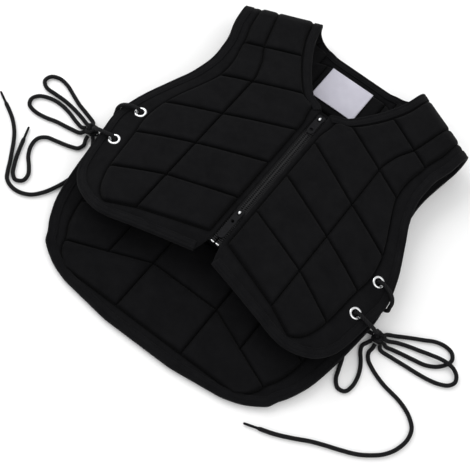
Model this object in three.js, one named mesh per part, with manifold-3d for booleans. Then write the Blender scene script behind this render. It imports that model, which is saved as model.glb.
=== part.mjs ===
// Quilted riding vest, lying on its back with the front zipped shut and the sides laced.
// Millimetres. +Z is up from the floor, +Y points to the neck, +X to the wearer's left.
import * as THREE from 'three';
import { mergeVertices } from 'three/addons/utils/BufferGeometryUtils.js';
import Module from 'manifold-3d';

const wasm = await Module();
wasm.setup();

// Driving sizes
const GAP = 0.3;
const BINDING_GAP = 0.4;
const CELL_HALF = 5;
const FOLD_HALF = 2.4;
const GROOVE_HALF = 2;
const BORDER_HALF = 1.5;
const CHANNEL_SLOPE = 8;
const BINDING_WIDTH = 9;
const BINDING_THICKNESS = 1.2;
const ZIP_BORDER = 6;
const ZIP_BORDER_END = 40;
const NECK_BORDER = 10;
const BACK_NECK_BORDER = 16;
const FRONT_HEIGHT = 42;
const FRONT_SIDE_DROP = 18;
const BACK_HEIGHT = CELL_HALF;
const BACK_SIDE_RISE = 8;
const BACK_RISE_START = 115;
const CHEST_HALF = 178;
const SHOULDER_SLOPE = 0.48;
const FOLD_RADIUS = (FRONT_HEIGHT - BACK_HEIGHT) / 2;
const FOLD_HEIGHT = (FRONT_HEIGHT + BACK_HEIGHT) / 2;
const SEAM_ANGLE = 135;
const ORIGIN_Y = -2;

// The front's quilting is drawn from a channel beside each strap, the back's from a flat middle.
const FRONT_CHANNEL = 86;
const BACK_MIDDLE = 41;
const FRONT_APEX = 212;
const BACK_APEX = FRONT_APEX + SHOULDER_SLOPE * (FRONT_CHANNEL - BACK_MIDDLE);

const EYELET = { x: 157, upper: -20, lower: -66, bore: 4, barrel: 4.6, flange: 7, hole: 5, sides: 10 };
const ZIP = { top: 105, bottom: -101, tapeInner: 3.6, tapeOuter: 11.6, tapeHalf: 0.4 };
const LABEL = { width: 57, length: 48, thickness: 0.6, x: -5, y: 169 };
const LACE = { diameter: 4.5, sides: 8, step: 16.5, runStep: 8 };
const AGLET = { diameter: 2.6, length: 14 };

// Front panel sections. level: height where the line crosses the channel; inner and outer: edges;
// border: flat width at the outer edge; channel: the channel's place; rise and fall: the line's slopes.
const FRONT_SECTIONS = [
  { level: 212, inner: 72.5, outer: 154, border: 17, channel: 120, rise: 0.48, fall: 0.48 },
  { level: 176, inner: 64.5, outer: 149, border: 17, channel: 111, rise: 0.48, fall: 0.48 },
  { level: 145, inner: 53, outer: 141, border: 17, channel: 103, rise: 0.48, fall: 0.48 },
  { level: 118, inner: 40, outer: 139, border: 20, channel: 92, rise: 0.48, fall: 0.47 },
  { level: 89, inner: 23, outer: 145, border: 26, channel: 86, rise: 0.48, fall: 0.46 },
  { level: 69, inner: 6, outer: 155, border: 28, channel: 86, rise: 0.5, fall: 0.45 },
  { level: 32, inner: 6, outer: 172, border: 28, channel: 86, rise: 0.5, fall: 0.44 },
  { level: 5, inner: 6, outer: 178, border: 30, channel: 86, rise: 0.46, fall: 0.45 },
  { level: -18, inner: 6, outer: 175, border: 30, channel: 86, rise: 0.43, fall: 0.46 },
  { level: -70, inner: 6, outer: 166, border: 27, channel: 86, rise: 0.36, fall: 0.5 },
  { level: -97, inner: 6, outer: 154, border: 22, channel: 86, rise: 0.36, fall: 0.5 },
  { level: -121, inner: 6, outer: 134, border: 17, channel: 86, rise: 0.36, fall: 0.47 },
  { level: -132, inner: 8, outer: 118, border: 17, channel: 78, rise: 0.32, fall: 0.47 },
  { level: -141, inner: 12, outer: 104, border: 17, channel: 70, rise: 0.26, fall: 0.28 },
];

// Back panel sections. level: height across the flat middle; inner: neck edge of the strap.
const BACK_SECTIONS = [
  { level: BACK_APEX, inner: 72.5, outer: 154, border: 17, channel: 120, fall: 0.48 },
  { level: 221, inner: 55, outer: 152, border: 17, channel: 105, fall: 0.48 },
  { level: 211, inner: 41, outer: 150, border: 17, channel: 92, fall: 0.48 },
  { level: 145, inner: 41, outer: 142, border: 17, channel: 85, fall: 0.46 },
  { level: 110, inner: 41, outer: 146, border: 17, channel: 85, fall: 0.46 },
  { level: 79, inner: 41, outer: 160, border: 20, channel: 85, fall: 0.46 },
  { level: 45, inner: 41, outer: 173, border: 26, channel: 85, fall: 0.46 },
  { level: 15, inner: 41, outer: 178, border: 30, channel: 85, fall: 0.46 },
  { level: -33, inner: 41, outer: 174, border: 28, channel: 85, fall: 0.46 },
  { level: -89, inner: 41, outer: 165, border: 22, channel: 85, fall: 0.46 },
  { level: -123, inner: 41, outer: 154, border: 18, channel: 85, fall: 0.45 },
  { level: -145, inner: 41, outer: 144, border: 17, channel: 85, fall: 0.44 },
  { level: -185, inner: 41, outer: 138, border: 17, channel: 78, fall: 0.13 },
  { level: -207, inner: 41, outer: 124, border: 17, channel: 68, fall: 0 },
  { level: -215, inner: 41, outer: 114, border: 17, channel: 64, fall: -0.045 },
  { level: -224, inner: 41, outer: 100, border: 17, channel: 62, fall: -0.13 },
];

// Rows of each panel from hem to shoulder: quilt lines, where the border ends, and extra sections.
const FRONT_ROWS = { hem: -141, border: -121, lines: [-70, -18, 32, 89, 145], extra: [69, 118, 176] };
const BACK_ROWS = { hem: -224, border: -207, lines: [-145, -89, -33, 23, 79, 135], neck: 211 };
const FRONT_FOLD_ANGLES = [0, 35, 70, 108];
const BACK_FOLD_ANGLES = [180, 157];

const MATERIALS = {
  shell: material(0x0b0b0d, 0.85, 0),
  binding: material(0x101012, 0.75, 0),
  tape: material(0x0c0c0e, 0.8, 0),
  teeth: material(0x141416, 0.4, 0.1),
  slider: material(0x1a1a1c, 0.35, 0.8),
  eyelet: material(0xb9bbbd, 0.25, 1),
  label: material(0xe9e9e6, 0.7, 0),
  lace: material(0x0d0d0f, 0.8, 0),
  aglet: material(0x0a0a0b, 0.3, 0),
};

function material(color, roughness, metalness) {
  return new THREE.MeshStandardMaterial({ color, roughness, metalness });
}

function smoothstep(value, low, high) {
  return THREE.MathUtils.smoothstep(value, low, high);
}

// One column of a section table at a level, smooth between rows and with no overshoot.
function column(rows, level, name) {
  const last = rows.length - 1;
  if (level >= rows[0].level) return rows[0][name];
  if (level <= rows[last].level) return rows[last][name];
  const slope = (i) => (rows[i + 1][name] - rows[i][name]) / (rows[i + 1].level - rows[i].level);
  const tangent = (i) => {
    const before = slope(Math.max(i - 1, 0));
    const after = slope(Math.min(i, last - 1));
    return before * after <= 0 ? 0 : (2 * before * after) / (before + after);
  };
  const k = rows.findIndex((row) => row.level < level) - 1;
  const span = rows[k + 1].level - rows[k].level;
  const t = (level - rows[k].level) / span;
  const ease = t * t * (3 - 2 * t);
  const start = t * (1 - t) * (1 - t) * span * tangent(k);
  const end = t * t * (t - 1) * span * tangent(k + 1);
  return THREE.MathUtils.lerp(rows[k][name], rows[k + 1][name], ease) + start + end;
}

// Middle surface of the front panel at a place across and a level.
function frontPoint(x, level, angle = 0) {
  const across = Math.abs(x);
  const away = across - FRONT_CHANNEL;
  const slope = column(FRONT_SECTIONS, level, away < 0 ? 'rise' : 'fall');
  const flat = smoothstep(level, 60, FRONT_APEX - FOLD_RADIUS);
  const drop = FRONT_SIDE_DROP * (across / CHEST_HALF) ** 3 * (1 - flat);
  return foldPoint(x, level - slope * away, FRONT_HEIGHT - drop, angle);
}

// Middle surface of the back panel, with sides that the lacing lifts off the floor.
function backPoint(x, level, angle = 180) {
  const across = Math.abs(x);
  const away = Math.max(across - BACK_MIDDLE, 0);
  const lifted = 1 - smoothstep(level, 90, 185);
  const out = Math.max(across - BACK_RISE_START, 0) / (CHEST_HALF - BACK_RISE_START);
  const height = BACK_HEIGHT + BACK_SIDE_RISE * out * out * lifted;
  return foldPoint(x, level - column(BACK_SECTIONS, level, 'fall') * away, height, angle);
}

// Rolls a point on a fold line round the shoulder; 0 is the front's face and 180 the back's.
function foldPoint(x, y, height, angle) {
  const turn = THREE.MathUtils.degToRad(angle);
  const raised = angle === 0 || angle === 180 ? height : FOLD_HEIGHT + FOLD_RADIUS * Math.cos(turn);
  return new THREE.Vector3(x, y + FOLD_RADIUS * Math.sin(turn), raised);
}

// Way that a panel runs round the fold; undefined on its flat rows.
function foldDirection(angle, sign) {
  if (angle === undefined) return undefined;
  const turn = THREE.MathUtils.degToRad(angle);
  return new THREE.Vector3(0, sign * Math.cos(turn), -sign * Math.sin(turn));
}

function quiltRows({ hem, border, lines, extra = [] }) {
  const rows = [
    { level: hem, half: BORDER_HALF },
    { level: border, half: BORDER_HALF },
    { level: border + CHANNEL_SLOPE, half: CELL_HALF },
  ];
  for (const level of lines) {
    rows.push({ level: level - CHANNEL_SLOPE, half: CELL_HALF });
    rows.push({ level, half: GROOVE_HALF });
    rows.push({ level: level + CHANNEL_SLOPE, half: CELL_HALF });
  }
  for (const level of extra) rows.push({ level, half: CELL_HALF });
  return rows.sort((a, b) => a.level - b.level);
}

// Columns from an outer edge inwards to the channel, as places across and half thicknesses.
function outerColumns(rows, level) {
  const outer = column(rows, level, 'outer');
  const border = column(rows, level, 'border');
  const channel = column(rows, level, 'channel');
  return [
    { x: channel - CHANNEL_SLOPE, half: CELL_HALF },
    { x: channel, half: GROOVE_HALF },
    { x: channel + CHANNEL_SLOPE, half: CELL_HALF },
    { x: outer - border - CHANNEL_SLOPE, half: CELL_HALF },
    { x: outer - border, half: BORDER_HALF },
    { x: outer, half: BORDER_HALF },
  ];
}

// Flat width along the zip, which widens towards the neck to take the binding there.
function innerBorder(level) {
  const share = smoothstep(level, ZIP_BORDER_END, FRONT_ROWS.extra[0]);
  return THREE.MathUtils.lerp(ZIP_BORDER, NECK_BORDER, share);
}

function frontColumns(rows, level) {
  const inner = column(rows, level, 'inner');
  const cell = inner + innerBorder(level);
  return [
    { x: inner, half: BORDER_HALF },
    { x: cell, half: BORDER_HALF },
    { x: cell + CHANNEL_SLOPE, half: CELL_HALF },
    ...outerColumns(rows, level),
  ];
}

// Half of the back's columns. Below the neck the first two are the middle cell's channel.
function backColumns(level) {
  const inner = column(BACK_SECTIONS, level, 'inner');
  const strap = level > BACK_ROWS.neck;
  const tail = level < BACK_ROWS.lines[0];
  const columns = [
    { x: BACK_MIDDLE - CHANNEL_SLOPE, half: CELL_HALF },
    { x: inner, half: strap ? BORDER_HALF : GROOVE_HALF },
    { x: inner + (strap ? NECK_BORDER : CHANNEL_SLOPE), half: strap ? BORDER_HALF : CELL_HALF },
    ...outerColumns(BACK_SECTIONS, level),
  ];
  if (tail) columns[4].half = CELL_HALF;
  return columns;
}

// Grid of one front panel; side is 1 on the wearer's left and -1 on the right. Past the shoulder's
// top its edges follow the back's, so both meet at the seam.
function frontGrid(side) {
  const fold = FRONT_APEX - FOLD_RADIUS;
  const rows = quiltRows(FRONT_ROWS);
  for (const angle of FRONT_FOLD_ANGLES) rows.push({ level: fold, angle, half: foldHalf(angle) });
  rows.push({ level: fold, angle: SEAM_ANGLE - seamHalfAngle(), half: BORDER_HALF });
  const grid = rows.map((row) => {
    const reach = FOLD_RADIUS * Math.sin(((row.angle ?? 0) * Math.PI) / 180);
    const places = row.angle > 90
      ? frontColumns(BACK_SECTIONS, BACK_APEX - FOLD_RADIUS + reach)
      : frontColumns(FRONT_SECTIONS, row.level + reach);
    const columns = places.map((place) => ({
      middle: frontPoint(side * place.x, row.level, row.angle),
      half: Math.min(row.half, place.half),
      along: foldDirection(row.angle, 1),
    }));
    return side > 0 ? columns : columns.reverse();
  });
  return withNormals(grid);
}

// Padding is full where the fold starts and pressed round it.
function foldHalf(angle) {
  return angle % 180 === 0 ? CELL_HALF : FOLD_HALF;
}

// Angle that leaves half of the seam's gap on the inner face of the fold.
function seamHalfAngle() {
  const innerRadius = FOLD_RADIUS - BORDER_HALF - BINDING_THICKNESS - BINDING_GAP;
  return THREE.MathUtils.radToDeg(GAP / 2 / innerRadius);
}

function backGrid() {
  const fold = BACK_APEX - FOLD_RADIUS;
  const neck = BACK_ROWS.neck;
  const rows = quiltRows(BACK_ROWS);
  rows.push({ level: neck - BACK_NECK_BORDER - CHANNEL_SLOPE, half: CELL_HALF });
  rows.push({ level: neck - BACK_NECK_BORDER, half: GROOVE_HALF, middleHalf: BORDER_HALF });
  rows.push({ level: neck, half: CELL_HALF, middleHalf: BORDER_HALF });
  for (const angle of BACK_FOLD_ANGLES) rows.push({ level: fold, angle, half: foldHalf(angle) });
  rows.push({ level: fold, angle: SEAM_ANGLE + seamHalfAngle(), half: BORDER_HALF });
  const grid = rows.map((row) => {
    const turn = ((row.angle ?? 180) * Math.PI) / 180;
    const half = backColumns(row.level + FOLD_RADIUS * Math.sin(turn)).map((place, i) => ({
      x: place.x,
      half: Math.min(place.half, i < 3 ? row.middleHalf ?? row.half : row.half),
    }));
    const whole = half.map((place) => ({ ...place, x: -place.x })).reverse().concat(half);
    return whole.map((place) => ({
      middle: backPoint(place.x, row.level, row.angle),
      half: place.half,
      along: foldDirection(row.angle, -1),
    }));
  });
  return withNormals(grid);
}

function withNormals(grid) {
  const pick = (j, i) => grid[THREE.MathUtils.clamp(j, 0, grid.length - 1)]
    .at(THREE.MathUtils.clamp(i, 0, grid[0].length - 1)).middle;
  grid.forEach((row, j) => row.forEach((node, i) => {
    const across = pick(j, i + 1).clone().sub(pick(j, i - 1));
    const along = node.along ?? pick(j + 1, i).clone().sub(pick(j - 1, i));
    node.normal = across.cross(along).normalize();
  }));
  return grid;
}

// Closed solid of a grid: both faces, and a wall along each edge that only one kept cell has.
function panelGeometry(grid, kept = () => true) {
  const wide = grid[0].length;
  const count = grid.length * wide;
  const position = [];
  for (const face of [1, -1]) {
    for (const node of grid.flat()) {
      position.push(...node.middle.clone().addScaledVector(node.normal, face * node.half).toArray());
    }
  }
  const index = [];
  const quad = (a, b, c, d) => index.push(a, b, c, a, c, d);
  const mirrored = (j, i) => grid[j][i].middle.x + grid[j][i + 1].middle.x < 0;
  const has = (j, i) => j >= 0 && i >= 0 && j < grid.length - 1 && i < wide - 1 && kept(j, i);
  const wall = (a, b) => quad(b, a, a + count, b + count);
  for (let j = 0; j < grid.length - 1; j += 1) {
    for (let i = 0; i < wide - 1; i += 1) {
      if (!has(j, i)) continue;
      const [a, b, c, d] = [j * wide + i, j * wide + i + 1, (j + 1) * wide + i + 1, (j + 1) * wide + i];
      const corners = mirrored(j, i) ? [b, c, d, a] : [a, b, c, d];
      quad(...corners);
      quad(...corners.map((corner) => corner + count).reverse());
      if (!has(j - 1, i)) wall(a, b);
      if (!has(j, i + 1)) wall(b, c);
      if (!has(j + 1, i)) wall(c, d);
      if (!has(j, i - 1)) wall(d, a);
    }
  }
  return indexedGeometry(position, index);
}

function indexedGeometry(position, index) {
  const geometry = new THREE.BufferGeometry();
  geometry.setAttribute('position', new THREE.Float32BufferAttribute(position, 3));
  geometry.setIndex(index);
  return mergeVertices(geometry, 1e-4);
}

// Folded tape round a panel's edge. The path runs with the panel on its left.
function bindingGeometry(path) {
  const inner = BORDER_HALF + BINDING_GAP;
  const outer = inner + BINDING_THICKNESS;
  const rings = path.map(({ edge, toward }) => {
    const inward = toward.middle.clone().sub(edge.middle);
    const share = BINDING_WIDTH / inward.length();
    inward.normalize();
    const at = (depth, height) => edge.middle.clone()
      .addScaledVector(inward, depth).addScaledVector(edge.normal, height);
    const far = (height) => edge.middle.clone().lerp(toward.middle, share)
      .addScaledVector(edge.normal.clone().lerp(toward.normal, share).normalize(), height);
    const rim = -BINDING_GAP - BINDING_THICKNESS;
    return [
      far(outer), at(rim, outer), at(rim, -outer), far(-outer),
      far(-inner), at(-BINDING_GAP, -inner), at(-BINDING_GAP, inner), far(inner),
    ];
  });
  return sweepGeometry(rings);
}

// Closed solid through rings of points that turn the same way, with fanned end caps.
function sweepGeometry(rings) {
  const sides = rings[0].length;
  const index = [];
  for (let k = 0; k < rings.length - 1; k += 1) {
    for (let s = 0; s < sides; s += 1) {
      const [a, b] = [k * sides + s, k * sides + ((s + 1) % sides)];
      const [c, d] = [b + sides, a + sides];
      index.push(...(rings[k][0].x < 0 ? [a, b, d, b, c, d] : [a, c, d, a, b, c]));
    }
  }
  const cap = THREE.ShapeUtils.triangulateShape(capOutline(rings[0]), []);
  const last = (rings.length - 1) * sides;
  for (const [a, b, c] of cap) index.push(c, b, a, last + a, last + b, last + c);
  return indexedGeometry(rings.flat().flatMap((point) => point.toArray()), index);
}

// A ring of points seen in its own plane.
function capOutline(ring) {
  const first = ring[1].clone().sub(ring[0]).normalize();
  const second = ring[2].clone().sub(ring[1]).normalize();
  return ring.map((point) => {
    const offset = point.clone().sub(ring[0]);
    return new THREE.Vector2(offset.dot(first), offset.dot(second));
  });
}

function toSolid(geometry) {
  const bare = geometry.clone();
  bare.deleteAttribute('normal');
  bare.deleteAttribute('uv');
  const merged = mergeVertices(bare, 1e-4);
  const vertProperties = new Float32Array(merged.attributes.position.array);
  const triVerts = new Uint32Array(merged.index.array);
  return new wasm.Manifold(new wasm.Mesh({ numProp: 3, vertProperties, triVerts }));
}

function toGeometry(solid) {
  const mesh = solid.getMesh();
  return indexedGeometry(Array.from(mesh.vertProperties), Array.from(mesh.triVerts));
}

function joined(geometries) {
  return toGeometry(geometries.map(toSolid).reduce((whole, next) => whole.add(next)));
}

// Place and turn of an eyelet, on the panel's own faces there.
function eyeletFrame(geometry, side, y) {
  const above = new THREE.Vector3(side * EYELET.x, y, 2 * FRONT_HEIGHT);
  const ray = new THREE.Raycaster(above, new THREE.Vector3(0, 0, -1));
  const solid = new THREE.Mesh(geometry, new THREE.MeshBasicMaterial({ side: THREE.DoubleSide }));
  const [top, bottom] = ray.intersectObject(solid);
  const middle = top.point.clone().lerp(bottom.point, 0.5);
  const turn = new THREE.Quaternion().setFromUnitVectors(new THREE.Vector3(0, 0, 1), top.face.normal);
  return new THREE.Matrix4().compose(middle, turn, new THREE.Vector3(1, 1, 1));
}

function pierced(geometry, frames) {
  const depth = 6 * BORDER_HALF;
  const drills = frames.map((frame) => toSolid(
    new THREE.CylinderGeometry(EYELET.hole, EYELET.hole, depth, EYELET.sides)
      .rotateX(Math.PI / 2).applyMatrix4(frame)));
  return toGeometry(drills.reduce((panel, drill) => panel.subtract(drill), toSolid(geometry)));
}

// Rolled metal eyelet: a barrel through the panel and a sloping flange on each face.
function eyeletGeometry(frame) {
  const seat = BORDER_HALF + GAP;
  const crest = seat + 1.1;
  const profile = [
    [EYELET.bore, -crest], [EYELET.flange, -seat], [EYELET.barrel, -seat],
    [EYELET.barrel, seat], [EYELET.flange, seat], [EYELET.bore, crest], [EYELET.bore, -crest],
  ].map(([radius, height]) => new THREE.Vector2(radius, height));
  return new THREE.LatheGeometry(profile, EYELET.sides).rotateX(Math.PI / 2).applyMatrix4(frame);
}

function box(low, high) {
  const size = high.map((value, k) => value - low[k]);
  const middle = high.map((value, k) => (value + low[k]) / 2);
  return new THREE.BoxGeometry(...size).translate(...middle);
}

// Zip levels, counted down from the front's flat border.
const TAPE_HEIGHT = FRONT_HEIGHT - BORDER_HALF - GAP - ZIP.tapeHalf;
const CHAIN = { half: 3.2, height: 1.5, openInner: 1.6 };
const SLIDER = { half: 4.6, length: 14, clear: 1.9, plate: 1.2, post: 1.1, postLength: 4 };
const CROWN = { bore: 1.3, rim: 2.3, half: 1.2, sides: 12 };
const PULL_HEIGHT = TAPE_HEIGHT + SLIDER.clear + SLIDER.plate + 0.4 + 0.7;
const PULL_HALF = 0.7;
const TOP_SLIDER_Y = ZIP.top - SLIDER.length / 2;
const BOTTOM_SLIDER_Y = -57;

function zipTape(side) {
  const inner = side * ZIP.tapeInner;
  const outer = side * ZIP.tapeOuter;
  return box(
    [Math.min(inner, outer), ZIP.bottom, TAPE_HEIGHT - ZIP.tapeHalf],
    [Math.max(inner, outer), ZIP.top, TAPE_HEIGHT + ZIP.tapeHalf]);
}

// Closed teeth between the two sliders, bevelled along both sides.
function zipChain() {
  const bevel = CHAIN.height / 2;
  const outline = new THREE.Shape([
    [CHAIN.half, -bevel], [CHAIN.half, bevel], [CHAIN.half - bevel, CHAIN.height],
    [bevel - CHAIN.half, CHAIN.height], [-CHAIN.half, bevel], [-CHAIN.half, -bevel],
    [bevel - CHAIN.half, -CHAIN.height], [CHAIN.half - bevel, -CHAIN.height],
  ].map(([x, z]) => new THREE.Vector2(x, z)));
  const start = BOTTOM_SLIDER_Y - SLIDER.length / 2 + SLIDER.postLength + GAP;
  const end = TOP_SLIDER_Y + SLIDER.length / 2 - SLIDER.postLength - GAP;
  return new THREE.ExtrudeGeometry(outline, { depth: end - start, bevelEnabled: false })
    .rotateX(Math.PI / 2).translate(0, end, TAPE_HEIGHT);
}

// Open teeth of one side, below the lower slider.
function zipOpenTeeth(side) {
  const inner = side * CHAIN.openInner;
  const outer = side * CHAIN.half;
  const top = BOTTOM_SLIDER_Y - SLIDER.length / 2 + SLIDER.postLength - GAP;
  return box(
    [Math.min(inner, outer), ZIP.bottom, TAPE_HEIGHT - CHAIN.height],
    [Math.max(inner, outer), top, TAPE_HEIGHT + CHAIN.height]);
}

// Slider of two plates on a post, with a ring on top that holds the pull.
function zipSlider(middle, direction) {
  const reach = SLIDER.length / 2;
  const low = TAPE_HEIGHT - SLIDER.clear;
  const high = TAPE_HEIGHT + SLIDER.clear;
  const plate = (from, to) => box(
    [-SLIDER.half, middle - reach, from], [SLIDER.half, middle + reach, to]);
  const postStart = middle + direction * reach;
  const postEnd = postStart - direction * SLIDER.postLength;
  const post = box(
    [-SLIDER.post, Math.min(postStart, postEnd), low - SLIDER.plate / 2],
    [SLIDER.post, Math.max(postStart, postEnd), high + SLIDER.plate / 2]);
  return joined([
    plate(low - SLIDER.plate, low), plate(high, high + SLIDER.plate), post, crownRing(middle)]);
}

function crownRing(middle) {
  const ring = new THREE.Shape(circlePoints(CROWN.rim));
  ring.holes.push(new THREE.Path(circlePoints(CROWN.bore)));
  return new THREE.ExtrudeGeometry(ring, { depth: 2 * CROWN.half, bevelEnabled: false })
    .translate(0, 0, -CROWN.half).rotateY(Math.PI / 2).translate(0, middle, PULL_HEIGHT);
}

function circlePoints(radius) {
  return Array.from({ length: CROWN.sides }, (_, k) => {
    const turn = (2 * Math.PI * k) / CROWN.sides;
    return new THREE.Vector2(radius * Math.cos(turn), radius * Math.sin(turn));
  });
}

// Pull tab lying towards the hem: a bar through the ring, a window round it and a round eye.
function zipPull(middle, { length, width, eye, eyeRadius }) {
  const half = width / 2;
  const tip = -length;
  const outline = new THREE.Shape();
  outline.moveTo(-half, PULL_HALF);
  outline.lineTo(-half, tip + half);
  outline.absarc(0, tip + half, half, Math.PI, 2 * Math.PI, false);
  outline.lineTo(half, PULL_HALF);
  outline.closePath();
  const window = { half: CROWN.half + 0.5, far: -PULL_HALF - CROWN.rim - 0.7 };
  outline.holes.push(new THREE.Path([
    [-window.half, -PULL_HALF], [window.half, -PULL_HALF],
    [window.half, window.far], [-window.half, window.far],
  ].map(([x, y]) => new THREE.Vector2(x, y))));
  outline.holes.push(new THREE.Path().absarc(0, -eye, eyeRadius, 0, 2 * Math.PI, true));
  const flat = { depth: 2 * PULL_HALF, bevelEnabled: false, curveSegments: 6 };
  return new THREE.ExtrudeGeometry(outline, flat).translate(0, middle, PULL_HEIGHT - PULL_HALF);
}

// Knot of each bow: x counts outwards from the middle, y to the neck, z up.
const KNOT = { x: 191, y: -60, z: 7, radius: [8, 8, 6.2] };
const KNOT_TILT = -18;
const KNOT_LEAD = 5;

// Held run of each lace, chosen by hand: front lower eyelet, inside, back upper eyelet, round the
// edge to the front upper eyelet, inside, back lower eyelet, and under the edge to the knot again.
const RUN = {
  leaves: 180,
  returns: 176,
  leavesTilt: 65,
  route: [
    [185.4, -64.5, 21], [181.6, -66, 27], [175.4, -67.2, 31.8], [167, -67, 34.4],
    [160.6, -66.2, 35.2], [157.9, -66, 33], [157, -66, 29.6], [156.1, -65.8, 25.8], [152.6, -62, 22.6],
    [148.4, -53, 20.6], [147, -43, 19.3], [148.4, -33, 18], [152.6, -24, 16], [156.3, -20.2, 12.6],
    [157, -20, 8.6], [158, -20.2, 4.6], [162, -21.6, 2.8], [169, -25, 3.2], [176.6, -28.4, 5.4],
    [182.2, -30, 11], [182, -29.6, 17.5], [181.4, -28, 25], [177.9, -25.6, 31.2], [170.4, -22.4, 34.2],
    [161, -20.4, 35.2], [157.9, -20, 33], [157, -20, 29.6], [155.5, -20.5, 25.2], [158.8, -24.4, 22],
    [165, -32.6, 20.6], [166.5, -43, 19.3], [164.6, -54.6, 18.8], [159.6, -63.2, 17.2], [156.7, -65.8, 13.4],
    [157, -66, 8.6], [158, -66, 4.6], [162, -65.8, 2.8], [169, -65, 2.8],
  ],
};

// Loose loops and tails, chosen by hand. leaves and returns: the way out of the knot, in degrees
// from straight outwards towards the neck.
const LACES = {
  left: {
    side: 1,
    loop_a: {
      leaves: 62,
      returns: -9,
      route: [
        [204, -45, 3], [217, -36.5, 2.5], [230, -29, 2.5], [242, -22, 2.5], [253, -19.5, 2.5],
        [262, -21.5, 2.5], [266.5, -28.5, 2.5], [264, -37, 2.5], [256.5, -46, 2.5], [246, -52, 2.5],
        [233, -55, 2.5], [221, -57.4, 2.5], [210, -60, 2.8],
      ],
    },
    loop_b: {
      leaves: 26,
      returns: -45,
      route: [
        [209, -50.6, 3], [220, -46, 2.6], [232, -42.5, 3], [245, -39.6, 5.2], [256, -38, 7.6],
        [264, -37.4, 7.8], [272, -37.6, 6], [279, -41, 3.2], [281.5, -48, 2.5], [278, -55, 2.5],
        [270, -60, 2.5], [259, -63.4, 2.5], [245, -65.4, 2.5], [230, -66.6, 2.5], [214, -68, 2.5],
      ],
    },
    tail_a: {
      leaves: -122,
      route: [
        [182, -77, 2.6], [184.4, -84, 2.5], [189, -90.5, 2.5], [193.6, -98.6, 2.5], [197, -109, 2.5],
        [198, -121, 2.5], [195, -130.6, 2.5], [187, -132.4, 2.5], [180.4, -125.6, 2.5],
        [176.6, -114, 2.5], [173, -102, 2.5], [168, -92, 2.5],
      ],
    },
    tail_b: {
      leaves: -84,
      route: [
        [191.6, -79, 2.6], [195.6, -86, 2.5], [203, -91, 2.5], [213, -95.6, 2.5], [225, -99.4, 2.5],
        [234, -101, 2.5], [244, -103, 2.5], [255, -107, 2.5], [264, -112.6, 2.5], [271, -120.6, 2.5],
        [273.4, -133, 2.5], [270, -148, 2.5], [263, -160, 2.5], [255, -168, 2.5], [241, -178, 2.5],
        [224, -185.6, 2.5], [210, -191, 2.5], [196, -197, 2.5], [180, -205.6, 2.5], [163, -213.6, 2.5],
        [146, -219.4, 2.5],
      ],
    },
  },
  right: {
    side: -1,
    loop_a: {
      leaves: -47,
      returns: -11,
      route: [
        [212, -72, 2.6], [229, -75, 2.5], [241, -78.6, 2.5], [254, -80, 2.5], [263.6, -77.4, 2.5],
        [267.4, -70, 2.5], [264, -62, 2.5], [256, -57, 2.5], [246, -54.4, 2.5], [236, -54.4, 2.5],
        [224, -56.6, 2.5], [212, -60.4, 2.6],
      ],
    },
    loop_b: {
      leaves: 60,
      returns: 24,
      route: [
        [211, -44.4, 2.6], [224, -40.6, 2.5], [238, -34.6, 2.5], [250, -29.6, 2.5], [262, -28.4, 2.5],
        [270.6, -33, 2.5], [272, -41.6, 2.5], [264.6, -47.4, 2.5], [252, -47.6, 2.5], [240, -47.4, 2.5],
        [228, -48.6, 2.5], [214, -51.4, 2.6],
      ],
    },
    tail_a: {
      leaves: -97,
      route: [
        [187, -78, 2.6], [189, -85.4, 2.5], [197, -89.6, 2.5], [212, -94, 2.5], [223, -97.4, 2.5],
        [229, -104.6, 2.5], [228.6, -116, 2.5], [222.6, -128, 2.5], [213.6, -137.6, 2.5],
        [207.4, -146.4, 2.5], [207, -155, 2.5], [213.6, -159.4, 2.5], [220.4, -155.4, 2.5],
        [226, -146.6, 2.5], [231.6, -135.6, 2.5], [236.4, -124, 2.5], [240.6, -113, 2.5],
      ],
    },
    tail_b: {
      leaves: -137,
      route: [
        [177.6, -76, 2.6], [172, -89, 2.5], [169.6, -106, 2.5], [171.6, -123, 2.5], [176, -139, 2.5],
        [181.6, -152, 2.5], [189.6, -162.6, 2.5], [200, -168, 2.5], [211, -168.6, 2.5],
        [220.6, -164.4, 2.5], [227, -155.6, 2.5], [232.4, -146, 2.5], [238.6, -136, 2.5],
        [245.6, -125, 2.5], [254, -114, 2.5], [265, -104, 2.5], [276, -97, 2.5], [286, -91.6, 2.5],
      ],
    },
  },
};

// Two points where a lace leaves its knot: on the knot's surface, and straight out from there.
function knotExit(angle, tilt = KNOT_TILT) {
  const turn = THREE.MathUtils.degToRad(angle);
  const rise = THREE.MathUtils.degToRad(tilt);
  const way = new THREE.Vector3(
    Math.cos(turn) * Math.cos(rise), Math.sin(turn) * Math.cos(rise), Math.sin(rise));
  const radius = new THREE.Vector3(...KNOT.radius);
  const normal = way.clone().divide(radius).normalize();
  const surface = way.multiply(radius).add(new THREE.Vector3(KNOT.x, KNOT.y, KNOT.z));
  return [surface, surface.clone().addScaledVector(normal, KNOT_LEAD)].map((point) => point.toArray());
}

function laceCurve({ leaves, leavesTilt, returns, route }, side) {
  const start = knotExit(leaves, leavesTilt);
  const end = returns === undefined ? [] : knotExit(returns).reverse();
  const points = [...start, ...route, ...end].map(([x, y, z]) => new THREE.Vector3(side * x, y, z));
  return new THREE.CatmullRomCurve3(points);
}

function laceGeometry(curve, step = LACE.step) {
  const section = new THREE.Shape(Array.from({ length: LACE.sides }, (_, k) => {
    const turn = (2 * Math.PI * k) / LACE.sides;
    return new THREE.Vector2(Math.cos(turn), Math.sin(turn)).multiplyScalar(LACE.diameter / 2);
  }));
  const steps = Math.round(curve.getLength() / step);
  return new THREE.ExtrudeGeometry(section, { steps, extrudePath: curve, bevelEnabled: false });
}

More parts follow.
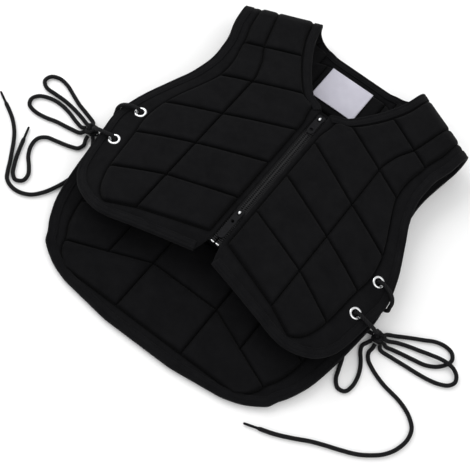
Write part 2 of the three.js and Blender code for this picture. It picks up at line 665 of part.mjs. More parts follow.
// Stiff tip that carries on straight from the end of a lace.
function agletGeometry(curve) {
  const end = curve.getPoint(1);
  const direction = curve.getTangent(1);
  const middle = end.addScaledVector(direction, GAP + AGLET.length / 2);
  const turn = new THREE.Quaternion().setFromUnitVectors(new THREE.Vector3(0, 1, 0), direction);
  return new THREE.CylinderGeometry(AGLET.diameter / 2, AGLET.diameter / 2, AGLET.length, LACE.sides)
    .applyQuaternion(turn).translate(...middle.toArray());
}

function knotGeometry(side) {
  return new THREE.SphereGeometry(1, 10, 8)
    .scale(...KNOT.radius).translate(side * KNOT.x, KNOT.y, KNOT.z);
}

const vest = new THREE.Group();
vest.position.y = -ORIGIN_Y;

function addPiece(name, geometry, finish) {
  const mesh = new THREE.Mesh(geometry, MATERIALS[finish]);
  mesh.name = name;
  vest.add(mesh);
}

// Walks a grid's edge: each step gives a row, a column, and the way in from there.
function edgePath(grid, steps) {
  return steps.map(([j, i, rowStep, columnStep]) => ({
    edge: grid[j][i],
    toward: grid[j + rowStep][i + columnStep],
  }));
}

function range(start, end) {
  const step = Math.sign(end - start) || 1;
  return Array.from({ length: Math.abs(end - start) + 1 }, (_, k) => start + k * step);
}

function addFront(side, name) {
  const grid = frontGrid(side);
  const top = grid.length - 1;
  const neckRow = quiltRows(FRONT_ROWS).findIndex((row) => row.level === FRONT_ROWS.extra[0]);
  const outer = side > 0 ? grid[0].length - 1 : 0;
  const inner = grid[0].length - 1 - outer;
  const hem = range(inner, outer - side).map((i) => [0, i, 1, 0]);
  const corner = [0, outer, 1, -side];
  const flank = range(1, top).map((j) => [j, outer, 0, -side]);
  const neck = range(neckRow, top).map((j) => [j, inner, 0, side]);
  const outline = edgePath(grid, [...hem, corner, ...flank]);
  const neckline = edgePath(grid, neck);
  const panel = panelGeometry(grid);
  const frames = [EYELET.upper, EYELET.lower].map((y) => eyeletFrame(panel, side, y));
  addPiece(`front_panel_${name}`, pierced(panel, frames), 'shell');
  addPiece(`edge_binding_${name}`, bindingGeometry(side > 0 ? outline : outline.reverse()), 'binding');
  addPiece(`neck_binding_${name}`, bindingGeometry(side > 0 ? neckline.reverse() : neckline), 'binding');
  addPiece(`eyelet_front_${name}_upper`, eyeletGeometry(frames[0]), 'eyelet');
  addPiece(`eyelet_front_${name}_lower`, eyeletGeometry(frames[1]), 'eyelet');
}

function addBack() {
  const grid = backGrid();
  const wide = grid[0].length;
  const top = grid.length - 1;
  const neckRow = top - BACK_FOLD_ANGLES.length - 1;
  const strapInner = wide / 2 + 1;
  const kept = (j, i) => j < neckRow || i < wide - 1 - strapInner || i >= strapInner;
  const outline = edgePath(grid, [
    ...range(top, 1).map((j) => [j, 0, 0, 1]),
    [0, 0, 1, 1],
    ...range(1, wide - 2).map((i) => [0, i, 1, 0]),
    [0, wide - 1, 1, -1],
    ...range(1, top).map((j) => [j, wide - 1, 0, -1]),
  ]);
  const neckline = edgePath(grid, [
    ...range(top, neckRow + 1).map((j) => [j, strapInner, 0, 1]),
    [neckRow, strapInner, -1, 1],
    ...range(strapInner - 1, wide - strapInner).map((i) => [neckRow, i, -1, 0]),
    [neckRow, wide - 1 - strapInner, -1, -1],
    ...range(neckRow + 1, top).map((j) => [j, wide - 1 - strapInner, 0, -1]),
  ]);
  const panel = panelGeometry(grid, kept);
  const frames = {};
  for (const [name, side] of [['left', 1], ['right', -1]]) {
    frames[`${name}_upper`] = eyeletFrame(panel, side, EYELET.upper);
    frames[`${name}_lower`] = eyeletFrame(panel, side, EYELET.lower);
  }
  addPiece('back_panel', pierced(panel, Object.values(frames)), 'shell');
  addPiece('edge_binding_back', bindingGeometry(outline), 'binding');
  addPiece('neck_binding_back', bindingGeometry(neckline), 'binding');
  for (const [name, frame] of Object.entries(frames)) {
    addPiece(`eyelet_back_${name}`, eyeletGeometry(frame), 'eyelet');
  }
}

function addLabel() {
  const base = BACK_HEIGHT + CELL_HALF + GAP;
  const low = [LABEL.x - LABEL.width / 2, LABEL.y - LABEL.length / 2, base];
  const high = [LABEL.x + LABEL.width / 2, LABEL.y + LABEL.length / 2, base + LABEL.thickness];
  addPiece('neck_label', box(low, high), 'label');
}

function addZip() {
  for (const [name, side] of [['left', 1], ['right', -1]]) {
    addPiece(`zip_tape_${name}`, zipTape(side), 'tape');
    addPiece(`zip_teeth_${name}`, zipOpenTeeth(side), 'teeth');
  }
  addPiece('zip_chain', zipChain(), 'teeth');
  addPiece('zip_slider_top', zipSlider(TOP_SLIDER_Y, 1), 'slider');
  addPiece('zip_slider_bottom', zipSlider(BOTTOM_SLIDER_Y, -1), 'slider');
  const small = { length: 23.5, width: 8, eye: 17.5, eyeRadius: 2.4 };
  const long = { length: 37, width: 7.6, eye: 13, eyeRadius: 2 };
  addPiece('zip_pull_top', zipPull(TOP_SLIDER_Y, small), 'slider');
  addPiece('zip_pull_bottom', zipPull(BOTTOM_SLIDER_Y, long), 'slider');
}

function addLace(name, { side, loop_a, loop_b, tail_a, tail_b }) {
  addPiece(`lace_${name}_run`, laceGeometry(laceCurve(RUN, side), LACE.runStep), 'lace');
  addPiece(`lace_${name}_knot`, knotGeometry(side), 'lace');
  addPiece(`lace_${name}_loop_a`, laceGeometry(laceCurve(loop_a, side)), 'lace');
  addPiece(`lace_${name}_loop_b`, laceGeometry(laceCurve(loop_b, side)), 'lace');
  for (const [tail, path] of [['a', tail_a], ['b', tail_b]]) {
    const curve = laceCurve(path, side);
    addPiece(`lace_${name}_tail_${tail}`, laceGeometry(curve), 'lace');
    addPiece(`lace_${name}_aglet_${tail}`, agletGeometry(curve), 'aglet');
  }
}

addBack();
addFront(1, 'left');
addFront(-1, 'right');
addLabel();
addZip();
for (const [name, lace] of Object.entries(LACES)) addLace(name, lace);

export default vest;
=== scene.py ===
"""Looks of a quilted riding vest that lies on its back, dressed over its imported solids. Metres."""

import math

import bpy
import numpy as np
from mathutils import Matrix


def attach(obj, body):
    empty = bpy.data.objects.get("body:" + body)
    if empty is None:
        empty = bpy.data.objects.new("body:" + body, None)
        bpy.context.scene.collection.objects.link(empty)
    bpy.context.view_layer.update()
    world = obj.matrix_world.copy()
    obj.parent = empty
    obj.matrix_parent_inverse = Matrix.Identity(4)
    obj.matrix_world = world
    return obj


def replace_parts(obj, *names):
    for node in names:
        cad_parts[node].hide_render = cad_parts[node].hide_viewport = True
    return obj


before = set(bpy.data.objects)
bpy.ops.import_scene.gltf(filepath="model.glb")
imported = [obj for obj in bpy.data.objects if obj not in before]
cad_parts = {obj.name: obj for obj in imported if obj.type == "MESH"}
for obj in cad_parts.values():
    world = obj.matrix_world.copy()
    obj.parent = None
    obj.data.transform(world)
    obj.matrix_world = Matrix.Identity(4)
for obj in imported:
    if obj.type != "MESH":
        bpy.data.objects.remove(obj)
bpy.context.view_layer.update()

# Driving sizes. +X is the wearer's left, +Y the neck and +Z up from the floor. A level is a place
# along Y before FRAME_Y moves it into the frame.
FRAME_Y = 0.0020
CELL_HALF = 0.005
BORDER_HALF = 0.0015
ZIP_BORDER = 0.006
ZIP_BORDER_END = 0.040
NECK_BORDER = 0.010
FRONT_HEIGHT = 0.042
FRONT_SIDE_DROP = 0.018
FRONT_FLAT_START = 0.060
BACK_HEIGHT = CELL_HALF
BACK_SIDE_RISE = 0.008
BACK_RISE_START = 0.115
BACK_RISE_FADE = (0.090, 0.185)
CHEST_HALF = 0.178
SHOULDER_SLOPE = 0.48
FOLD_RADIUS = (FRONT_HEIGHT - BACK_HEIGHT) / 2
FOLD_HEIGHT = (FRONT_HEIGHT + BACK_HEIGHT) / 2
SEAM_ANGLE = 135
SEAM_GAP_ANGLE = 0.6
SEAM_CLEAR_ANGLE = 12
FRONT_CHANNEL = 0.086
BACK_MIDDLE = 0.041
FRONT_APEX = 0.212
BACK_APEX = FRONT_APEX + SHOULDER_SLOPE * (FRONT_CHANNEL - BACK_MIDDLE)
FRONT_FOLD = FRONT_APEX - FOLD_RADIUS
BACK_FOLD = BACK_APEX - FOLD_RADIUS
SIDES = {"left": 1, "right": -1}
LINE_NAMES = ("inner", "channel", "border", "outer")

# Levels where the quilting crosses each panel.
FRONT_HEM, FRONT_BORDER = -0.141, -0.121
FRONT_LINES = (-0.070, -0.018, 0.032, 0.089, 0.145)
BACK_HEM, BACK_BORDER = -0.224, -0.207
BACK_LINES = (-0.145, -0.089, -0.033, 0.023, 0.079, 0.135)
BACK_NECK_LINE = 0.195
BACK_NECK = 0.211
FRONT_NECK = 0.069

# Grid of the panels. The counts are of cells across each strip, from the inner edge outwards.
GRID_STEP = 0.0018
CROWDING = 0.7
LEAST_STEPS = 4
LEAST_FOLD_STEPS = 6
BACK_COARSER = 1.15
FRONT_COUNTS = (7, 38, 34, 16)
BACK_COUNTS = (22, 6, 20, 32, 14)
SLOPE_STEP = 0.0004
FAR = 1.0
TINY = 1e-9

# Points along or round the small pieces.
POINTS = {"hem": 60, "back_hem": 110, "back_neck": 50, "front_line": 80, "neck_line": 80, "back_line": 160,
          "binding": 15, "binding_rim": 7, "eyelet_roll": 11, "eyelet": 36, "label": (48, 40),
          "tape": (15, 110), "crown_section": 12, "crown": 28, "lace_span": 24, "aglet": 20, "knot": 160,
          "levels": 2000}

# Soft shape of the quilting.
CELL_ROUND = 0.0052
CORNER_POWER = 5.0
ROUND_POWER = 2.0
SEAM_DIP = 0.0009
SEAM_REACH = 0.0013
# SEAM_SHADE: reach of the shade painted into the cloth's colour along its seams.
SEAM_SHADE = 0.0024
BORDER_PUFF = 0.0006
PUFF_REACH = 0.003
PUFF_START = 0.004
FOLD_THINNING = 0.8
PUCKER = 0.00035
PUCKER_REACH = 0.005
PUCKER_PITCH = 0.0045
BORDER_PUCKER = 0.6
SWELL = 0.0005
SWELL_PITCH = 0.030
EDGE_ROUND = 0.0015
EDGE_SHARE = 0.25
FLOOR_CLEAR = 0.0001

# Noise. A panel's two seeds are for its outer and its inner face, and the steps keep its rows, its
# seams, its fold and the back from repeating each other.
NOISE_CELLS = 128
SEEDS = {"left": (11, 16), "right": (23, 28), "back": (53, 41), "label": 7, "tape": 61}
ROW_NOISE = 7.3
ROW_NOISE_START = 0.5
SEAM_NOISE = 20
FOLD_NOISE = 0.02 / 90
BACK_NOISE = 0.3

# Trim.
BINDING = {"width": 0.009, "thickness": 0.0011, "seat": 0.0002, "step": 0.002, "seams": (0.0022, 0.0072),
           "lip": 0.0004, "sink": 0.0004, "sink_reach": 0.0007, "sway": 0.05, "sway_pitch": 0.006,
           "sway_row": 3.5, "easing": 6, "rim_turn": 75}
BINDING_HALF = BORDER_HALF + BINDING["seat"] + BINDING["thickness"]
STITCH = {"length": 0.0026, "pitch": 0.0033, "radius": 0.00028, "shoulder": 0.55, "proud": 0.0001,
          "sunk": 0.0003}
EYELET = {"x": 0.157, "levels": (-0.020, -0.066), "bore": 0.0040, "barrel": 0.0046, "flange": 0.0070,
          "crest": 0.0012, "hole": 0.0049, "gap": 0.0001}
LABEL = {"width": 0.057, "length": 0.048, "thickness": 0.0005, "x": -0.005, "y": 0.169, "lift": 0.0009,
         "bow": 0.0004, "bow_pitch": 0.02, "fold": 0.00015, "fold_ends": (0.0035, 0.0045)}

# Laces. An aglet's collar is given as a share of its radius and a place from the lace's end, and its
# point as a share and a distance back from the tip.
LACE_RADIUS = 0.00225
LACE_REST = 0.0025
LACE_STEP = 0.0006
LACE_SIDES = 24
LACE_TAPER = {"share": 0.95, "swell": 0.0012, "length": 0.004}
BRAID = {"strands": 5, "pitch": 0.012, "relief": 0.07, "return": 0.5, "level": 0.8}
AGLET = {"radius": 0.0013, "length": 0.014, "gap": 0.0003}
AGLET_COLLAR = ((0.077, -0.003), (1, -0.003), (1.06, -0.0022), (1, -0.0012), (1, 0.002), (0.93, 0.0026),
                (1, 0.0032))
AGLET_POINT = ((0.97, 0.00286), (0.9, 0.001), (0.6, 0.0002), (0.077, 0))

# Zip. A tooth's side runs from its root to its head.
ZIP_TOP, ZIP_BOTTOM = 0.105, -0.101
TAPE = {"across": (0.0031, 0.0116), "above": 0.0003, "below": 0.0004, "gap": 0.0004, "rib": 0.0005,
        "rib_x": 0.0036, "rib_reach": 0.0005, "ridge": 0.0001, "ridge_pitch": 0.0012, "wave": 0.00015,
        "wave_pitch": (0.01, 0.012)}
TAPE_HEIGHT = FRONT_HEIGHT - BORDER_HALF - TAPE["above"] - TAPE["gap"]
TOOTH = {"pitch": 0.0026, "half": 0.0014, "chamfer": 0.0003, "open_shift": 0.0018, "first_shift": 0.0012,
         "spread": 0.012, "gap": 0.002}
TOOTH_SIDE = ((0.0042, 0.00062), (0.0018, 0.00050), (0.0010, 0.00060), (-0.0006, 0.00056),
              (-0.0010, 0.0002))
STOP = {"length": 0.0015, "reach": (-0.0008, 0.0034), "proud": 0.0002, "chamfer": 0.0004, "gap": 0.001}
SLIDER = {"length": 0.014, "mouth": 0.0046, "tail": 0.0037, "clear": 0.0019, "plate": 0.0012,
          "wall": 0.0007, "wall_ends": (-0.005, 0.001), "post": 0.0011, "post_ends": (0.0030, 0.0066),
          "overlap": 0.0006, "sunk": 0.0001, "chamfer": 0.0003, "bevel": 0.0002, "hides": 0.0045,
          "notch": 0.0012, "corner": 0.0006, "waist": (0.0010, 0.0025)}
TOP_SLIDER_Y = ZIP_TOP - SLIDER["length"] / 2
BOTTOM_SLIDER_Y = -0.057
CROWN = {"bore": 0.0013, "rim": 0.0023, "half": 0.0012}
PULL = {"half": 0.0007, "gap": 0.0004, "bevel": 0.0003}
PULL_HEIGHT = TAPE_HEIGHT + SLIDER["clear"] + SLIDER["plate"] + PULL["gap"] + PULL["half"]

# Looks. A noise is read over its middle span, and the wave texture has a factor of its own on its scale.
# A patch, a thread or a mark is given by its pitch, gloss by the roughness at both ends, and pits by how
# many cross a spot.
NOISE_SPAN = (0.3, 0.7)
NOISE_DETAIL = 3
WAVE_FACTOR = 20
THREAD_BEND = 0.4
CLOTH = {"roughness": 0.9, "patch": 0.02, "gloss_patch": 0.006, "gloss": (0.82, 0.98)}
CORD = {"roughness": 0.8, "specular": 0.12, "turn": (0.5, 0.6, 0.7), "thread": 0.0007, "relief": 0.00012,
        "gloss_patch": 0.002, "gloss": (0.7, 0.9)}
MOULDED = {"patch": 0.003, "smoother": 0.07, "rougher": 0.1, "pits": 3, "relief": 0.00002, "strength": 0.5}
METAL = {"roughness": 0.2, "gloss_patch": 0.0015, "gloss": (0.14, 0.34), "mark": 0.0004,
         "relief": 0.00001, "strength": 0.4}
BEVEL = {"segments": 2, "angle": 35}

# Studio. The camera stands at the photograph's viewing angle; a light is a place, a size and a power.
CAMERA = {"azimuth": 17.58, "elevation": 60.62, "roll": 20.44, "distance": 1.1952, "lens": 86.98,
          "sensor": 36, "target": (0.0073, -0.0663, 0.020)}
LIGHTS = {"key": ((-1.3, 0.2, 1.3), 1.4, 16), "fill": ((0.9, -0.7, 1.6), 1.6, 7)}
SURROUND = 0.85
FLOOR = {"half": 3.0, "tone": 0.92, "roughness": 0.9, "specular": 0.1}


class Sections:
    """A table of sections, read by column at any level, smooth between rows and with no overshoot."""

    def __init__(self, names, *rows):
        ordered = np.array(sorted(rows))
        self.level = ordered[:, 0]
        self.columns = dict(zip(names.split(), ordered.T))

    def at(self, name, level):
        x, y = self.level, self.columns[name]
        slope = np.diff(y) / np.diff(x)
        before = np.concatenate([slope[:1], slope])
        after = np.concatenate([slope, slope[-1:]])
        rising = before * after > 0
        total = np.where(rising, before + after, 1)
        tangent = np.where(rising, 2 * before * after / total, 0)
        level = np.clip(level, x[0], x[-1])
        k = np.clip(np.searchsorted(x, level, side="right") - 1, 0, len(x) - 2)
        span = x[k + 1] - x[k]
        t = (level - x[k]) / span
        smooth = y[k] + (y[k + 1] - y[k]) * t * t * (3 - 2 * t)
        return smooth + span * t * (1 - t) * ((1 - t) * tangent[k] - t * tangent[k + 1])


# level: where a line crosses the channel; inner and outer: edges; border: flat outer width;
# channel: the channel's place; rise and fall: the line's slopes on both sides of the channel.
FRONT = Sections(
    "level inner outer border channel rise fall",
    (0.212, 0.0725, 0.154, 0.017, 0.120, 0.48, 0.48),
    (0.176, 0.0645, 0.149, 0.017, 0.111, 0.48, 0.48),
    (0.145, 0.053, 0.141, 0.017, 0.103, 0.48, 0.48),
    (0.118, 0.040, 0.139, 0.020, 0.092, 0.48, 0.47),
    (0.089, 0.023, 0.145, 0.026, 0.086, 0.48, 0.46),
    (0.069, 0.006, 0.155, 0.028, 0.086, 0.50, 0.45),
    (0.032, 0.006, 0.172, 0.028, 0.086, 0.50, 0.44),
    (0.005, 0.006, 0.178, 0.030, 0.086, 0.46, 0.45),
    (-0.018, 0.006, 0.175, 0.030, 0.086, 0.43, 0.46),
    (-0.070, 0.006, 0.166, 0.027, 0.086, 0.36, 0.50),
    (-0.097, 0.006, 0.154, 0.022, 0.086, 0.36, 0.50),
    (-0.121, 0.006, 0.134, 0.017, 0.086, 0.36, 0.47),
    (-0.132, 0.008, 0.118, 0.017, 0.078, 0.32, 0.47),
    (-0.141, 0.012, 0.104, 0.017, 0.070, 0.26, 0.28),
)

# level: of a line across the flat middle; inner: neck edge of the strap, or the middle channel below it.
BACK = Sections(
    "level inner outer border channel fall",
    (BACK_APEX, 0.0725, 0.154, 0.017, 0.120, 0.48),
    (0.221, 0.055, 0.152, 0.017, 0.105, 0.48),
    (0.211, 0.041, 0.150, 0.017, 0.092, 0.48),
    (0.145, 0.041, 0.142, 0.017, 0.085, 0.46),
    (0.110, 0.041, 0.146, 0.017, 0.085, 0.46),
    (0.079, 0.041, 0.160, 0.020, 0.085, 0.46),
    (0.045, 0.041, 0.173, 0.026, 0.085, 0.46),
    (0.015, 0.041, 0.178, 0.030, 0.085, 0.46),
    (-0.033, 0.041, 0.174, 0.028, 0.085, 0.46),
    (-0.089, 0.041, 0.165, 0.022, 0.085, 0.46),
    (-0.123, 0.041, 0.154, 0.018, 0.085, 0.45),
    (-0.145, 0.041, 0.144, 0.017, 0.085, 0.44),
    (-0.185, 0.041, 0.138, 0.017, 0.078, 0.13),
    (-0.207, 0.041, 0.124, 0.017, 0.068, 0.00),
    (-0.215, 0.041, 0.114, 0.017, 0.064, -0.045),
    (-0.224, 0.041, 0.100, 0.017, 0.062, -0.13),
)

# Laces. Each way out of the knot is in degrees from straight outwards towards the
# neck. A route's x counts outwards from the middle, and a point without a height rests on the floor.
KNOT = (0.191, -0.060, 0.007)
KNOT_RADIUS = (0.008, 0.008, 0.0062)
KNOT_TILT = -18
KNOT_LEAD = 0.005
KNOT_WIND = {"wide": 0.0042, "deep": 0.0019, "tall": 0.002185}
RUN = {
    "leaves": 180, "returns": 176, "leaves_tilt": 65,
    "route": [
        (0.1854, -0.0645, 0.021), (0.1816, -0.066, 0.027), (0.1754, -0.0672, 0.0318),
        (0.167, -0.067, 0.0344), (0.1606, -0.0662, 0.0352), (0.1579, -0.066, 0.033),
        (0.157, -0.066, 0.0296), (0.1561, -0.0658, 0.0258), (0.1526, -0.062, 0.0226),
        (0.1484, -0.053, 0.0206), (0.147, -0.043, 0.0193), (0.1484, -0.033, 0.018),
        (0.1526, -0.024, 0.016), (0.1563, -0.0202, 0.0126), (0.157, -0.02, 0.0086),
        (0.158, -0.0202, 0.0046), (0.162, -0.0216, 0.0028), (0.169, -0.025, 0.0032),
        (0.1766, -0.0284, 0.0054), (0.1822, -0.03, 0.011), (0.182, -0.0296, 0.0175),
        (0.1814, -0.028, 0.025), (0.1779, -0.0256, 0.0312), (0.1704, -0.0224, 0.0342),
        (0.161, -0.0204, 0.0352), (0.1579, -0.02, 0.033), (0.157, -0.02, 0.0296),
        (0.1555, -0.0205, 0.0252), (0.1588, -0.0244, 0.022), (0.165, -0.0326, 0.0206),
        (0.1665, -0.043, 0.0193), (0.1646, -0.0546, 0.0188), (0.1596, -0.0632, 0.0172),
        (0.1567, -0.0658, 0.0134), (0.157, -0.066, 0.0086), (0.158, -0.066, 0.0046),
        (0.162, -0.0658, 0.0028), (0.169, -0.065, 0.0028),
    ],
}
LACES = {
    "left": {
        "loop_a": {"leaves": 62, "returns": -9, "route": [
            (0.204, -0.045, 0.003), (0.217, -0.0365), (0.23, -0.029), (0.242, -0.022),
            (0.253, -0.0195), (0.262, -0.0215), (0.2665, -0.0285), (0.264, -0.037),
            (0.2565, -0.046), (0.246, -0.052), (0.233, -0.055), (0.221, -0.0574),
            (0.21, -0.06, 0.0028),
        ]},
        "loop_b": {"leaves": 26, "returns": -45, "route": [
            (0.209, -0.0506, 0.003), (0.22, -0.046, 0.0026), (0.232, -0.0425, 0.003),
            (0.245, -0.0396, 0.0052), (0.256, -0.038, 0.0076), (0.264, -0.0374, 0.0078),
            (0.272, -0.0376, 0.006), (0.279, -0.041, 0.0032), (0.2815, -0.048), (0.278, -0.055),
            (0.27, -0.06), (0.259, -0.0634), (0.245, -0.0654), (0.23, -0.0666), (0.214, -0.068),
        ]},
        "tail_a": {"leaves": -122, "route": [
            (0.182, -0.077, 0.0026), (0.1844, -0.084), (0.189, -0.0905), (0.1936, -0.0986),
            (0.197, -0.109), (0.198, -0.121), (0.195, -0.1306), (0.187, -0.1324), (0.1804, -0.1256),
            (0.1766, -0.114), (0.173, -0.102), (0.168, -0.092),
        ]},
        "tail_b": {"leaves": -84, "route": [
            (0.1916, -0.079, 0.0026), (0.1956, -0.086), (0.203, -0.091), (0.213, -0.0956),
            (0.225, -0.0994), (0.234, -0.101), (0.244, -0.103), (0.255, -0.107), (0.264, -0.1126),
            (0.271, -0.1206), (0.2734, -0.133), (0.27, -0.148), (0.263, -0.16), (0.255, -0.168),
            (0.241, -0.178), (0.224, -0.1856), (0.21, -0.191), (0.196, -0.197), (0.18, -0.2056),
            (0.163, -0.2136), (0.146, -0.2194),
        ]},
    },
    "right": {
        "loop_a": {"leaves": -47, "returns": -11, "route": [
            (0.212, -0.072, 0.0026), (0.229, -0.075), (0.241, -0.0786), (0.254, -0.08),
            (0.2636, -0.0774), (0.2674, -0.07), (0.264, -0.062), (0.256, -0.057), (0.246, -0.0544),
            (0.236, -0.0544), (0.224, -0.0566), (0.212, -0.0604, 0.0026),
        ]},
        "loop_b": {"leaves": 60, "returns": 24, "route": [
            (0.211, -0.0444, 0.0026), (0.224, -0.0406), (0.238, -0.0346), (0.25, -0.0296),
            (0.262, -0.0284), (0.2706, -0.033), (0.272, -0.0416), (0.2646, -0.0474),
            (0.252, -0.0476), (0.24, -0.0474), (0.228, -0.0486), (0.214, -0.0514, 0.0026),
        ]},
        "tail_a": {"leaves": -97, "route": [
            (0.187, -0.078, 0.0026), (0.189, -0.0854), (0.197, -0.0896), (0.212, -0.094),
            (0.223, -0.0974), (0.229, -0.1046), (0.2286, -0.116), (0.2226, -0.128),
            (0.2136, -0.1376), (0.2074, -0.1464), (0.207, -0.155), (0.2136, -0.1594),
            (0.2204, -0.1554), (0.226, -0.1466), (0.2316, -0.1356), (0.2364, -0.124),
            (0.2406, -0.113),
        ]},
        "tail_b": {"leaves": -137, "route": [
            (0.1776, -0.076, 0.0026), (0.172, -0.089), (0.1696, -0.106), (0.1716, -0.123),
            (0.176, -0.139), (0.1816, -0.152), (0.1896, -0.1626), (0.2, -0.168), (0.211, -0.1686),
            (0.2206, -0.1644), (0.227, -0.1556), (0.2324, -0.146), (0.2386, -0.136),
            (0.2456, -0.125), (0.254, -0.114), (0.265, -0.104), (0.276, -0.097), (0.286, -0.0916),
        ]},
    },
}


# Materials


class Nodes:
    """Shorthand for the nodes of one material."""

    def __init__(self, name, color, roughness, **sockets):
        self.material = bpy.data.materials.new(name)
        self.material.use_nodes = True
        self.tree = self.material.node_tree
        self.shader = self.tree.nodes["Principled BSDF"]
        self.shader.inputs["Base Color"].default_value = (*color, 1)
        self.shader.inputs["Roughness"].default_value = roughness
        for socket, value in sockets.items():
            self.shader.inputs[socket.replace("_", " ")].default_value = value

    def add(self, kind, inputs=None, **settings):
        node = self.tree.nodes.new(kind)
        for name, value in settings.items():
            setattr(node, name, value)
        for name, value in (inputs or {}).items():
            if isinstance(value, bpy.types.NodeSocket):
                self.tree.links.new(value, node.inputs[name])
            else:
                node.inputs[name].default_value = value
        return node

    def feed(self, socket, output):
        self.tree.links.new(output, self.shader.inputs[socket])

    def coordinates(self, rotation=(0, 0, 0)):
        place = self.add("ShaderNodeTexCoord").outputs["Object"]
        return self.add("ShaderNodeMapping", {"Vector": place, "Rotation": rotation}).outputs["Vector"]

    def noise(self, place, pitch):
        inputs = {"Vector": place, "Scale": 1 / pitch, "Detail": NOISE_DETAIL}
        return self.add("ShaderNodeTexNoise", inputs).outputs["Fac"]

    def bands(self, place, pitch, axis):
        inputs = {"Vector": place, "Scale": 2 * math.pi / (WAVE_FACTOR * pitch), "Distortion": THREAD_BEND}
        return self.add("ShaderNodeTexWave", inputs, bands_direction=axis).outputs["Fac"]

    def mapped(self, value, low, high):
        start, end = NOISE_SPAN
        inputs = {"Value": value, "From Min": start, "From Max": end, "To Min": low, "To Max": high}
        return self.add("ShaderNodeMapRange", inputs).outputs["Result"]

    def tinted(self, value, dark, light, deep=None):
        ramp = self.add("ShaderNodeValToRGB", {"Fac": value})
        elements = ramp.color_ramp.elements
        for k, color in enumerate((dark, light)):
            elements[k].position = NOISE_SPAN[k]
            elements[k].color = (*color, 1)
        # A deep tone, where given, is painted shade at the dark end of the ramp.
        if deep:
            elements.new(0.0).color = (*deep, 1)
        return ramp.outputs["Color"]

    def attribute(self, name):
        return self.add("ShaderNodeAttribute", attribute_name=name).outputs["Fac"]

    def combined(self, operation, first, second):
        node = self.add("ShaderNodeMath", operation=operation)
        self.tree.links.new(first, node.inputs[0])
        self.tree.links.new(second, node.inputs[1])
        return node.outputs["Value"]

    def raised(self, height, distance, strength=1.0):
        bump = self.add("ShaderNodeBump", {"Height": height, "Distance": distance, "Strength": strength})
        self.feed("Normal", bump.outputs["Normal"])


def grey(value, blue=None):
    """A neutral colour, or one with a little more blue."""
    return (value, value, value if blue is None else blue)


def cloth(name, dark, light, thread, relief, turn=0.0, deep=None, **sockets):
    """Woven cloth: crossing threads, slightly uneven in colour and gloss, and, with a deep tone, shade
    painted into its colour along its seams.
    """
    made = Nodes(name, dark, CLOTH["roughness"], **sockets)
    place = made.coordinates((0, 0, turn))
    threads = [made.bands(place, thread, axis) for axis in "XY"]
    patches = made.noise(place, CLOTH["patch"])
    # Painted shade: the patches are scaled by each point's share clear of the seams, so the deep tone
    # darkens the sewn channels.
    if deep:
        patches = made.combined("MULTIPLY", patches, made.attribute("open"))
    made.feed("Base Color", made.tinted(patches, dark, light, deep))
    made.feed("Roughness", made.mapped(made.noise(place, CLOTH["gloss_patch"]), *CLOTH["gloss"]))
    made.raised(made.combined("MAXIMUM", *threads), relief)
    return made.material


def braid(name, dark, light=None):
    """Braided cord with shade painted into its colour between its strands and light on their crests, or
    thread in one tone.
    """
    made = Nodes(name, dark, CORD["roughness"], Specular_IOR_Level=CORD["specular"])
    place = made.coordinates(CORD["turn"])
    threads = [made.bands(place, CORD["thread"], axis) for axis in "XZ"]
    # Painted shade and light: the strand heights tint the cord darker between its strands and lighter on
    # their crests.
    if light:
        made.feed("Base Color", made.tinted(made.attribute("strand"), dark, light))
    made.feed("Roughness", made.mapped(made.noise(place, CORD["gloss_patch"]), *CORD["gloss"]))
    made.raised(made.combined("MAXIMUM", *threads), CORD["relief"])
    return made.material


def hard(name, dark, light, roughness, spots, **sockets):
    """Plastic or enamel with a fine uneven gloss and tiny pits."""
    made = Nodes(name, dark, roughness, **sockets)
    place = made.coordinates()
    gloss = (roughness - MOULDED["smoother"], roughness + MOULDED["rougher"])
    made.feed("Base Color", made.tinted(made.noise(place, MOULDED["patch"]), dark, light))
    made.feed("Roughness", made.mapped(made.noise(place, spots), *gloss))
    made.raised(made.noise(place, spots / MOULDED["pits"]), MOULDED["relief"], MOULDED["strength"])
    return made.material


def plated(name, color):
    """Bright plated metal with fine turning marks and dull patches."""
    made = Nodes(name, color, METAL["roughness"], Metallic=1.0)
    place = made.coordinates()
    made.feed("Roughness", made.mapped(made.noise(place, METAL["gloss_patch"]), *METAL["gloss"]))
    made.raised(made.noise(place, METAL["mark"]), METAL["relief"], METAL["strength"])
    return made.material


MATTE = {"Specular_IOR_Level": 0.06, "Sheen_Weight": 0.02, "Sheen_Roughness": 0.5}
LOOKS = {
    # The shell's deep tone is shade painted into its sewn channels.
    "shell": cloth("shell", grey(0.0030, 0.0035), grey(0.0045, 0.0051), thread=0.0007, relief=0.00010,
                   deep=grey(0.0013, 0.0015), **MATTE),
    "binding": cloth("binding", grey(0.0034, 0.0040), grey(0.0054, 0.0061), thread=0.0005,
                     relief=0.00014, turn=0.8, **MATTE),
    "tape": cloth("tape", grey(0.014, 0.015), grey(0.021, 0.022), thread=0.0006, relief=0.00012,
                  turn=0.6, **MATTE),
    "thread": braid("thread", grey(0.004, 0.005)),
    # Quilting thread: black like the tape's thread, painted darker for the shade of the seams it lies in.
    "shaded_quilt_thread": braid("shaded_quilt_thread", grey(0.001, 0.0012)),
    "teeth": hard("teeth", grey(0.010, 0.011), grey(0.016, 0.017), roughness=0.40, spots=0.0012,
                  Specular_IOR_Level=0.22),
    "slider": hard("slider", grey(0.004, 0.005), grey(0.007, 0.008), roughness=0.28, spots=0.0010,
                   Specular_IOR_Level=0.12),
    "eyelet": plated("eyelet", (0.78, 0.79, 0.80)),
    "label": cloth("label", (0.50, 0.49, 0.56), (0.56, 0.55, 0.62), thread=0.0005, relief=0.00006,
                   Specular_IOR_Level=0.2),
    # The lace's two tones are painted shade between its strands and painted light on their crests.
    "lace": braid("lace", grey(0.0025, 0.003), grey(0.015, 0.016)),
    "aglet": hard("aglet", grey(0.003, 0.004), grey(0.005, 0.006), roughness=0.6, spots=0.0012,
                  Specular_IOR_Level=0.04),
}


# Mesh helpers


